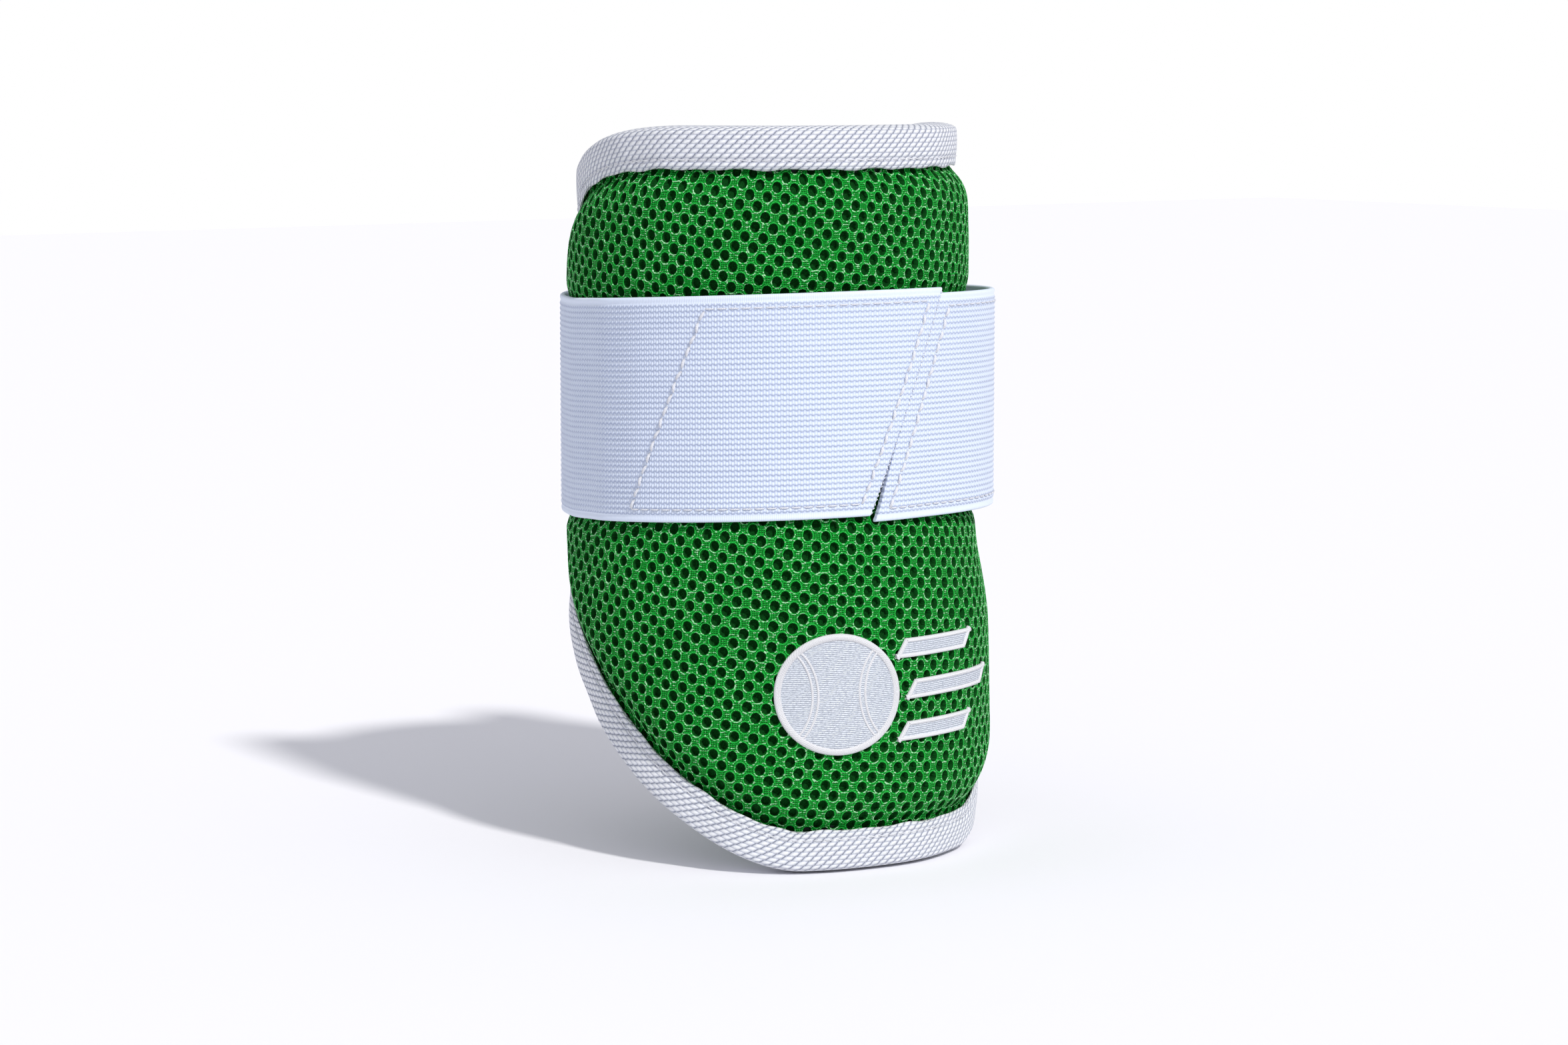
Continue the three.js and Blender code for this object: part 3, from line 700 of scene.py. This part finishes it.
def inner_layers():
    s, z, d = GRID
    share = pinch(d)
    mesh_thick = MESH_THICK + (MESH_EDGE - MESH_THICK) * share
    foam_thick = FOAM_THICK + (FOAM_EDGE - FOAM_THICK) * share
    under_mesh = outer_radius(s, z, d) - mesh_thick - FIT_GAP
    under_foam = under_mesh - foam_thick - FIT_GAP
    beyond = np.maximum(np.abs(s) - PLATE_HALF, PLATE_INSET - d)
    pocket = (PLATE_THICK + 2 * PLATE_CLEAR) * (1 - smooth(beyond, PLATE_MARGIN, 2 * PLATE_MARGIN))
    layer("soft_foam_sheet", under_mesh, under_mesh - foam_thick, "soft_foam", "outer_foam", SOFT_FOAM, 0.9)
    lining = inner_radius(d) + LINING_THICK
    impact = under_foam - pocket
    layer("impact_foam_sheet", impact, lining + LINING_FIT, "impact_foam", "impact_foam", IMPACT_FOAM, 1.0)
    soft = LINING_WAVE * np.sin(s / 9.0) * np.sin(z / 11.0) * (1 - share)
    layer("arm_lining", lining, inner_radius(d) + soft, "lining", "inner_lining", LINING)


def hard_plate():
    rise = np.linspace(-1, 1, 40)
    z = HEIGHT / 2 + rise * (HEIGHT / 2 - PLATE_INSET)
    reach = np.minimum(PLATE_HALF, reach_at(z, PLATE_INSET))
    s = reach[:, None] * np.linspace(-1, 1, 60)[None]
    z = np.broadcast_to(z[:, None], s.shape)
    top = BODY_RADIUS - MESH_THICK - FOAM_THICK - 2 * FIT_GAP - PLATE_CLEAR - seat_depth(s, z)
    made = slab("elbow_plate", on_body(s, z, top), on_body(s, z, top - PLATE_THICK), np.stack([s, z], -1))
    finish_piece(made, "plate", "guard", ["hard_plate"], PLASTIC)


inner_layers()
hard_plate()


# ---------- binding tape ----------
def distances(points):
    """How far along a path each of its points lies."""
    return np.concatenate([[0], np.cumsum(np.hypot(*np.diff(points, axis=0).T))])


def even_loop(points, step):
    """A closed path resampled at about this step, with its inward normals."""
    closed = np.vstack([points, points[:1]])
    along = distances(closed)
    count = int(round(along[-1] / step))
    places = np.arange(count) * along[-1] / count
    path = np.stack([np.interp(places, along, closed[:, k]) for k in range(2)], -1)
    tangent = np.roll(path, -1, 0) - np.roll(path, 1, 0)
    tangent /= np.linalg.norm(tangent, axis=1)[:, None]
    return path, np.stack([-tangent[:, 1], tangent[:, 0]], -1)


WHOLE_RIM = np.vstack([RIM[:-1], (RIM * (-1, 1))[::-1][:-1]])
SKIN_GAP, LINING_GAP, WEB = 1.2, 1.4, 0.9
FLANGE_FROM = 1.2
SEAM_INSET, SEAM_GROOVE, GROOVE_HALF = 9.6, 0.36, 0.55
TAPE_SWELL, TAPE_RIPPLE = 0.35, 0.1


def tape_puff(d):
    """How far the tape stands off at a distance from the edge: a soft swell, drawn in along the seam."""
    swell = TAPE_SWELL * np.sin(np.clip(d / TAPE_REACH, 0, 1) * math.pi)
    return swell - SEAM_GROOVE * np.exp(-(((d - SEAM_INSET) / GROOVE_HALF) ** 2))


def edge_tape():
    path, inward = even_loop(WHOLE_RIM, 1.25)
    # The section runs from the outside flange's free edge, over the edge, to the inside flange, and back.
    plain = np.linspace(TAPE_REACH, FLANGE_FROM, 15)
    reach = np.sort(np.concatenate([plain, SEAM_INSET + np.array([-0.5, 0.0, 0.5])]))[::-1]
    bend = np.linspace(0, math.pi, 11)[1:-1]
    puff = tape_puff(reach)

    def flat(axis, d):
        """One flat coordinate, s for axis 0 and z for axis 1, at distances in from the edge."""
        return path[:, axis, None] + inward[:, axis, None] * d

    def skin(d, lift, outside):
        s, z = flat(0, d), flat(1, d)
        depth = np.broadcast_to(np.maximum(d, 0), s.shape)
        base = outer_radius(s, z, depth) + SKIN_GAP if outside else inner_radius(depth) - LINING_GAP
        return on_body(s, z, base + lift)

    edge = np.array([FLANGE_FROM])
    high = outer_radius(flat(0, edge), flat(1, edge), np.full((len(path), 1), FLANGE_FROM)) + SKIN_GAP
    low = np.broadcast_to(inner_radius(FLANGE_FROM) - LINING_GAP, high.shape)
    middle, half = (high + low) / 2, (high - low) / 2

    def web(thick):
        d = FLANGE_FROM - (FLANGE_FROM + WEB - TAPE_THICK + thick) * np.sin(bend)
        return on_body(flat(0, d), flat(1, d), middle + (half + thick) * np.cos(bend))

    turn = 2 * math.pi * np.arange(len(path)) / len(path)
    ripple = TAPE_RIPPLE * np.sin(45 * turn)[:, None] * np.ones_like(reach)
    # The outside flange's free edge is rounded, and wanders.
    wander = 0.26 * np.sin(61 * turn) + 0.18 * np.sin(37 * turn + 1)
    lips = TAPE_REACH + np.array([0.0, 0.15]) + wander[:, None]
    rounded = np.array([0.35, 0.75])
    sections = np.concatenate([
        skin(lips, rounded * TAPE_THICK, True),
        skin(reach[1:], TAPE_THICK + puff[1:] + ripple[:, 1:], True),
        web(TAPE_THICK),
        skin(reach[::-1], -TAPE_THICK - puff[::-1], False),
        skin(reach, 0 * reach, False),
        web(0.0)[:, ::-1],
        skin(reach[::-1], 0 * reach, True),
    ], axis=1)
    made = ring("edge_tape", sections)
    finish_piece(made, "binding_tape", "guard", ["edge_binding"], WEAVE)


edge_tape()


# ---------- stitching ----------
ARCH_RISE, ARCH_SINK = 0.32, 0.14


def stitch_row(name, place, length, stitch=2.9, gap=0.7, thick=0.42, askew=0.0):
    """Separate stitches along a path. place(t, lift) gives points for distances t along the path, lifted
    off the cloth by that much. Each stitch rises from the cloth, lies on it and sinks again. askew is how far
    a stitch's ends may lie to either side of the path."""
    count = int(length // (stitch + gap))
    pitch = length / count
    stations, sides = 6, 6
    steps = np.linspace(0, 1, stations)
    start = np.arange(count)[:, None] * pitch
    along = start + steps[None] * (pitch - gap)
    arch = ARCH_RISE * np.sin(steps * math.pi) ** 0.6 - ARCH_SINK
    centre = place(along.ravel(), np.tile(arch, count)).reshape(count, stations, 3)
    lifted = place(along.ravel(), np.tile(arch + 1.0, count)).reshape(count, stations, 3)
    up = lifted - centre
    up /= np.linalg.norm(up, axis=2)[..., None]
    ahead = np.gradient(centre, axis=1)
    ahead /= np.linalg.norm(ahead, axis=2)[..., None]
    side = np.cross(ahead, up)
    turned = askew * np.sin(np.arange(count) * 2.4)[:, None] * np.linspace(-1, 1, stations)[None]
    centre = centre + side * turned[..., None]
    turn = np.arange(sides) / sides * 2 * math.pi
    radius = thick / 2 * np.array([0.45, 0.95, 1, 1, 0.95, 0.45])[None, :, None, None]
    cos, sin = (part[None, None, :, None] for part in (np.cos(turn), np.sin(turn)))
    tube = centre[:, :, None] + radius * (cos * side[:, :, None] + sin * up[:, :, None])
    faces = []
    for face in quads(stations, sides + 1):
        faces.append([(v // (sides + 1)) * sides + (v % (sides + 1)) % sides for v in face])
    faces += [list(range(sides)), [(stations - 1) * sides + k for k in range(sides)][::-1]]
    every, size = [], stations * sides
    for k in range(count):
        every += [[v + k * size for v in face] for face in faces]
    uv = np.stack(np.broadcast_arrays(along[:, :, None], np.arange(sides) * thick / 2), -1)
    return make_mesh(name, tube.reshape(-1, 3), every, uv.reshape(-1, 2))


def flat_path(points, closed=True):
    """A function from distance to (first, second) coordinate along a list of corners, and its length."""
    points = np.asarray(points, float)
    if closed:
        points = np.vstack([points, points[:1]])
    along = distances(points)
    return (lambda t: (np.interp(t, along, points[:, 0]), np.interp(t, along, points[:, 1]))), along[-1]


def tape_seams():
    inset = SEAM_INSET
    stand = TAPE_THICK + float(tape_puff(np.array(inset))) + ARCH_SINK
    path, inward = even_loop(WHOLE_RIM, 2.0)
    line, length = flat_path(path + inward * inset)

    def outside(t, lift):
        s, z = line(t)
        return on_body(s, z, outer_radius(s, z, np.full_like(s, inset)) + SKIN_GAP + stand + lift)

    def inside(t, lift):
        s, z = line(t)
        return on_body(s, z, inner_radius(inset) - LINING_GAP - stand - lift)

    seam = stitch_row("tape_seam_outside", outside, length)
    finish_piece(seam, "thread", "guard", ["binding_stitching"], THREAD)
    seam = stitch_row("tape_seam_inside", inside, length)
    finish_piece(seam, "thread", "guard", [], THREAD)


tape_seams()


# ---------- strap ----------
# Radius of the strap's inner face at angles round the body, in degrees. It eases from stop to stop.
STRAP_STOPS = np.array([
    (-95, 64.8), (-84, 66.4), (8, 66.4), (55, 71.7), (100, 70.7), (150, 65.2), (225, 65.2), (265, 64.8),
])
TAB_SEAM = math.radians(97)
TIP_SPRING = 0.9


def strap_radius(angle):
    first = STRAP_STOPS[0, 0]
    degrees = np.mod(np.degrees(angle) - first, 360) + first
    radius = np.full_like(degrees, STRAP_STOPS[0, 1])
    for (start, before), (end, after) in zip(STRAP_STOPS[:-1], STRAP_STOPS[1:]):
        radius = np.where(degrees >= start, before + (after - before) * smooth(degrees, start, end), radius)
    return radius


def on_strap(angle, up, out, tip):
    """Places in space: up from the strap's middle line, out from its inner face."""
    radius = strap_radius(angle) + out
    wrapped = np.where(angle > math.pi, angle - 2 * math.pi, angle)
    height = strap_middle(wrapped, tip) + up + 0 * radius
    return np.stack([radius * np.sin(angle), -radius * np.cos(angle), height], -1)


def cut_angle(up):
    """Angle of the slanted cut at a height from the strap's middle line."""
    return CUT_BOTTOM + (CUT_TOP - CUT_BOTTOM) * (up / STRAP_WIDTH + 0.5)


def strap_rows():
    """Heights across the strap, four to a rib, and how far each stands out."""
    half = STRAP_WIDTH / 2
    rib_zone = half - SELVEDGE
    ribs = int(round(2 * rib_zone / RIB_PITCH))
    inner = np.linspace(-rib_zone, rib_zone, ribs * 4 + 1)
    rise = -RIB_RISE * np.cos(np.arange(len(inner)) * math.pi / 2)
    edge = np.array([0.0, 0.25, 0.7, 1.2, 1.7])
    edge_rise = np.array([-0.55, -0.12, 0.02, 0.0, -0.2])
    up = np.concatenate([-half + edge, inner, (half - edge)[::-1]])
    return up, np.concatenate([edge_rise, rise, edge_rise[::-1]])


ROWS_UP, ROWS_RISE = strap_rows()


def strap_strip(name, start, end, tip, lift=None, step=2.4):
    """A length of elastic between two angles that may change with height."""
    up, rise = ROWS_UP, ROWS_RISE
    begin = np.broadcast_to(start(up), up.shape)
    finish = np.broadcast_to(end(up), up.shape)
    columns = int(np.max(finish - begin) * BODY_RADIUS / step)
    share = np.linspace(0, 1, columns + 1)
    angle = begin[:, None] + (finish - begin)[:, None] * share[None]
    tall = np.broadcast_to(up[:, None], angle.shape)
    proud = np.broadcast_to(rise[:, None], angle.shape)
    extra = 0 if lift is None else lift(angle, tall)
    outside = on_strap(angle, tall, STRAP_THICK + proud + extra, tip)
    inside = on_strap(angle, tall, -proud + extra, tip)
    uv = np.stack([angle * BODY_RADIUS, tall], -1)
    return slab(name, outside, inside, uv)


def tip_lift(angle, up):
    """The right end is sprung off a little towards its lower corner."""
    near = 1 - smooth(angle - cut_angle(up), 0, 0.35)
    return TIP_SPRING * near * smooth(-up, -10, 35)


def fixed(angle):
    return lambda up: np.full_like(up, angle)


HALF_GAP = 0.004 / BODY_RADIUS
CUT_WEDGE = 1.9
PATCH_TURN = PATCH_LENGTH / BODY_RADIUS
PATCH_SIDE = PATCH_INSET / BODY_RADIUS
# Both faces of the hook tape, out from the strap's inner face.
HOOK_OUTSIDE, HOOK_INSIDE = -0.25, -1.1
# Thread: its thickness, the gap between stitches, and how far askew they lie.
FINE, HEAVY, FRAY = (0.5, 0.6, 0.0), (1.05, 0.5, 0.4), (0.36, 0.55, 0.42)


def right_cut(up):
    """Where the right end starts: against the left end's cut above, and open in a wedge below."""
    level = up - (LEFT_TIP - RIGHT_TIP)
    return cut_angle(level) + HALF_GAP + CUT_WEDGE / BODY_RADIUS * smooth(-up, 2, 35) ** 2


def strap():
    left = strap_strip("elastic_left", fixed(-math.pi), lambda up: cut_angle(up) - HALF_GAP, LEFT_TIP)
    finish_piece(left, "elastic", None, ["strap_left_tab", "strap_back_run"], ELASTIC, ride=False)
    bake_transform(left)
    side = strap_strip("elastic_right", fixed(TAB_SEAM), fixed(math.pi), RIGHT_TIP)
    finish_piece(side, "elastic", None, ["strap_right_side"], ELASTIC, ride=False)
    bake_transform(side)
    tab = strap_strip("elastic_right_tab", right_cut, fixed(TAB_SEAM), RIGHT_TIP, tip_lift)
    finish_piece(tab, "elastic", None, ["strap_right_tab"], ELASTIC, ride=False)
    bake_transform(tab)


strap()


def left_patch_start(up):
    return cut_angle(up) - PATCH_SIDE - PATCH_TURN


def right_patch_start(up):
    return cut_angle(up) + PATCH_SIDE


def hook_patch(name, start, body, node, tip, lift=None):
    up = np.linspace(-PATCH_HEIGHT / 2, PATCH_HEIGHT / 2, 50)
    share = np.linspace(0, 1, 60)
    angle = start(up)[:, None] + PATCH_TURN * share[None]
    tall = np.broadcast_to(up[:, None], angle.shape)
    extra = 0 if lift is None else lift(angle, tall)
    outside = on_strap(angle, tall, HOOK_OUTSIDE + extra, tip)
    inside = on_strap(angle, tall, HOOK_INSIDE + extra, tip)
    made = slab(name, outside, inside, np.stack([angle * BODY_RADIUS, tall], -1))
    finish_piece(made, "hook", body, [node], HOOKS)


hook_patch("hooks_left", left_patch_start, "left_tab", "hook_patch_left", LEFT_TIP)
hook_patch("hooks_right", right_patch_start, "right_tab", "hook_patch_right", RIGHT_TIP, tip_lift)


def box_stitch(name, start, body, node, tip, lift=None):
    """A slanted box of stitching: fine along the strap, and worked over twice on the two slanted sides."""
    near, far, half = BOX_INSET, PATCH_LENGTH - BOX_INSET, PATCH_HEIGHT / 2 - BOX_INSET

    def sew(label, ends, thick, gap, askew, nodes, stitch=3.0):
        line, length = flat_path(ends, closed=False)

        def place(t, rise):
            along, up = line(t)
            angle = start(up) + along / BODY_RADIUS
            extra = 0 if lift is None else lift(angle, up)
            return on_strap(angle, up, STRAP_THICK + RIB_RISE * 0.6 + extra + rise * thick / FINE[0], tip)

        made = stitch_row(f"{name}_{label}", place, length, stitch, gap, thick, askew)
        finish_piece(made, "thread", body, nodes, THREAD)

    sew("top", [(near, half), (far, half)], *FINE, [node])
    sew("bottom", [(near, -half), (far, -half)], *FINE, [])
    sew("left", [(near, -half), (near, half)], *HEAVY, [])
    sew("right", [(far, -half), (far, half)], *HEAVY, [])
    if name == "box_stitches_left":
        # Loose ends of the elastic's own yarn along the slanted cut, which lies on the other end.
        cut, reach = PATCH_LENGTH + PATCH_INSET, STRAP_WIDTH / 2 - 0.6
        sew("fray", [(cut, -reach), (cut, reach)], *FRAY, [], stitch=0.75)


box_stitch("box_stitches_left", left_patch_start, "left_tab", "patch_stitching_left", LEFT_TIP)
box_stitch("box_stitches_right", right_patch_start, "right_tab", "patch_stitching_right", RIGHT_TIP, tip_lift)


# ---------- loop panel ----------
LOOP_FROM, LOOP_TO, LOOP_HEIGHT, LOOP_LIFT, LOOP_THICK = -92.0, 98.0, 56.0, 0.15, 0.9
LOOP_MIDDLE = LEFT_TIP
LOOP_SEAM_INSET, LOOP_SEAM_SINK = 2.2, 0.1


def loop_panel():
    s = np.linspace(LOOP_FROM, LOOP_TO, 130)
    up = np.linspace(-LOOP_HEIGHT / 2, LOOP_HEIGHT / 2, 44)
    s, z = np.meshgrid(s, LOOP_MIDDLE + up)
    base = outer_radius(s, z) + LOOP_LIFT
    edge = np.minimum(np.minimum(s - LOOP_FROM, LOOP_TO - s), LOOP_HEIGHT / 2 - np.abs(z - LOOP_MIDDLE))
    pile = LOOP_THICK * (0.45 + 0.55 * smooth(edge, 0, 2.0))
    made = slab("loop_pile_panel", on_body(s, z, base + pile), on_body(s, z, base), np.stack([s, z], -1))
    finish_piece(made, "loop", "guard", ["loop_panel"], PILE)
    left, right = LOOP_FROM + LOOP_SEAM_INSET, LOOP_TO - LOOP_SEAM_INSET
    low = LOOP_MIDDLE - LOOP_HEIGHT / 2 + LOOP_SEAM_INSET
    high = LOOP_MIDDLE + LOOP_HEIGHT / 2 - LOOP_SEAM_INSET
    line, length = flat_path([(left, low), (right, low), (right, high), (left, high)])

    def place(t, rise):
        along, height = line(t)
        base = outer_radius(along, height) + LOOP_LIFT
        return on_body(along, height, base + LOOP_THICK - LOOP_SEAM_SINK + rise)

    seam = stitch_row("loop_panel_seam", place, length)
    finish_piece(seam, "thread", "guard", [], THREAD)


loop_panel()


# ---------- emblem ----------
EMBLEM_Z, BALL_X, BALL_RADIUS, BALL_RIM = 56.0, -22.0, 19.0, 2.2
BAR_START, BAR_STEP, BAR_LENGTH, BAR_SHORTER = 1.0, 3.0, 38.0, 8.0
BAR_PITCH, BAR_HEIGHT, BAR_SLANT, BAR_RIM = 13.0, 6.0, 4.0, 1.4
BAR_FILL_UP, BAR_FILL_SIDE = 0.6, 0.8
SATIN_LIFT, EMBROIDERY_ROOT = 0.05, 0.25


def satin_border(name, corners, width, node, step=0.22, rise=1.0):
    """A raised cord of satin stitches round a closed outline, each stitch a ridge across it."""
    path, inward = even_loop(np.asarray(corners, float), step)
    bend = np.linspace(0, math.pi, 9)
    ridge = 1 + 0.09 * np.cos(np.arange(len(path)) * math.pi)[:, None]
    d = width / 2 * (1 - np.cos(bend))[None] * np.ones_like(ridge)
    lift = rise * np.sin(bend)[None] ** 0.7 * ridge
    s = path[:, 0, None] + inward[:, 0, None] * d
    z = path[:, 1, None] + inward[:, 1, None] * d
    top = on_body(s, z, outer_radius(s, z) + SATIN_LIFT + lift)
    s, z = s[:, [6, 2]], z[:, [6, 2]]
    bottom = on_body(s, z, outer_radius(s, z) - EMBROIDERY_ROOT)
    sections = np.concatenate([top, bottom], 1)[:, ::-1]
    finish_piece(ring(name, sections), "embroidery", "guard", node, SATIN)


def fill_patch(name, s, z, node, rise=0.45):
    """A flat area of embroidery."""
    cloth = outer_radius(s, z)
    outside, inside = on_body(s, z, cloth + rise), on_body(s, z, cloth - EMBROIDERY_ROOT)
    made = slab(name, outside, inside, np.stack([s, z], -1))
    finish_piece(made, "embroidery", "guard", node, FILL)


def emblem():
    turn = np.linspace(0, 2 * math.pi, 120, endpoint=False)
    circle = np.stack([BALL_X + BALL_RADIUS * np.cos(turn), EMBLEM_Z + BALL_RADIUS * np.sin(turn)], -1)
    satin_border("ball_border", circle, BALL_RIM, ["emblem_ball_rim"])
    face = BALL_RADIUS - BALL_RIM / 2
    rise = np.linspace(-0.985, 0.985, 60) * face
    half = np.sqrt(face**2 - rise**2)
    s = BALL_X + half[:, None] * np.linspace(-1, 1, 60)[None]
    fill_patch("ball_fill", s, np.broadcast_to((EMBLEM_Z + rise)[:, None], s.shape), ["emblem_ball"])
    for k, label in enumerate(("lower", "middle", "upper")):
        place = k - 1
        length = BAR_LENGTH - BAR_SHORTER * abs(place)
        start = BAR_START - BAR_STEP * abs(place)
        middle = EMBLEM_Z + place * BAR_PITCH
        lean = BAR_SLANT / 2
        low, high = middle - BAR_HEIGHT / 2, middle + BAR_HEIGHT / 2
        end = start + length
        corners = [(start - lean, low), (end - lean, low), (end + lean, high), (start + lean, high)]
        satin_border(f"bar_border_{label}", corners, BAR_RIM, [f"emblem_bar_{label}"], rise=0.85)
        up = np.linspace(-1, 1, 12)[:, None] * (BAR_HEIGHT / 2 - BAR_FILL_UP)
        along = np.linspace(BAR_FILL_SIDE, length - BAR_FILL_SIDE, 60)[None]
        s = start + along + up * BAR_SLANT / BAR_HEIGHT
        fill_patch(f"bar_fill_{label}", s, np.broadcast_to(middle + up, s.shape), [])


def ball_seams():
    """Two curved seams on the embroidered ball, in raised thread."""
    for side, label in ((-1, "left"), (1, "right")):
        bow = np.linspace(-0.9, 0.9, 40)
        radius = BALL_RADIUS * 0.95
        s = BALL_X + side * (BALL_RADIUS * 0.98 - radius * 0.62 * np.cos(bow))
        z = EMBLEM_Z + radius * 0.9 * np.sin(bow)
        inward = np.stack([s, z], -1)
        back = inward[::-1] + (side * -0.9, 0)
        loop = np.concatenate([inward, back])
        if side > 0:
            loop = loop[::-1]
        satin_border(f"ball_seam_{label}", loop, 0.8, [], rise=0.75)


emblem()
ball_seams()


# ---------- stage and light ----------
KEY_AZIMUTH, KEY_ELEVATION, KEY_SPREAD = math.radians(0), math.radians(44), math.radians(5)
KEY_ENERGY, SKY_ENERGY, BACKDROP = 2.4, 0.62, 1.0


def stage():
    bpy.ops.mesh.primitive_plane_add(size=8, location=(0, 0, FLOOR_Z))
    floor = bpy.context.object
    floor.name = "floor"
    look = Look("paper_floor", Roughness=0.9, Base_Color=(0.9, 0.895, 0.93, 1), Specular_IOR_Level=0.1)
    floor.data.materials.append(look.material)

    key = bpy.data.lights.new("key", "SUN")
    key.energy = KEY_ENERGY
    key.angle = KEY_SPREAD
    key.color = (1.0, 0.985, 0.96)
    lamp = add_object("key", key)
    out = math.cos(KEY_ELEVATION)
    toward = Vector((math.sin(KEY_AZIMUTH) * out, -math.cos(KEY_AZIMUTH) * out, math.sin(KEY_ELEVATION)))
    lamp.rotation_mode = "QUATERNION"
    lamp.rotation_quaternion = toward.to_track_quat("Z", "Y")

    world = bpy.data.worlds.new("studio")
    bpy.context.scene.world = world
    world.use_nodes = True
    tree = world.node_tree
    soft = tree.nodes["Background"]
    soft.inputs[0].default_value = (0.93, 0.94, 1.0, 1)
    soft.inputs[1].default_value = SKY_ENERGY
    white = tree.nodes.new("ShaderNodeBackground")
    white.inputs[0].default_value = (1, 1, 1, 1)
    white.inputs[1].default_value = BACKDROP
    path = tree.nodes.new("ShaderNodeLightPath")
    mix = tree.nodes.new("ShaderNodeMixShader")
    tree.links.new(path.outputs["Is Camera Ray"], mix.inputs[0])
    tree.links.new(soft.outputs[0], mix.inputs[1])
    tree.links.new(white.outputs[0], mix.inputs[2])
    tree.links.new(mix.outputs[0], tree.nodes["World Output"].inputs[0])
    bpy.context.scene.view_settings.view_transform = "Standard"


stage()
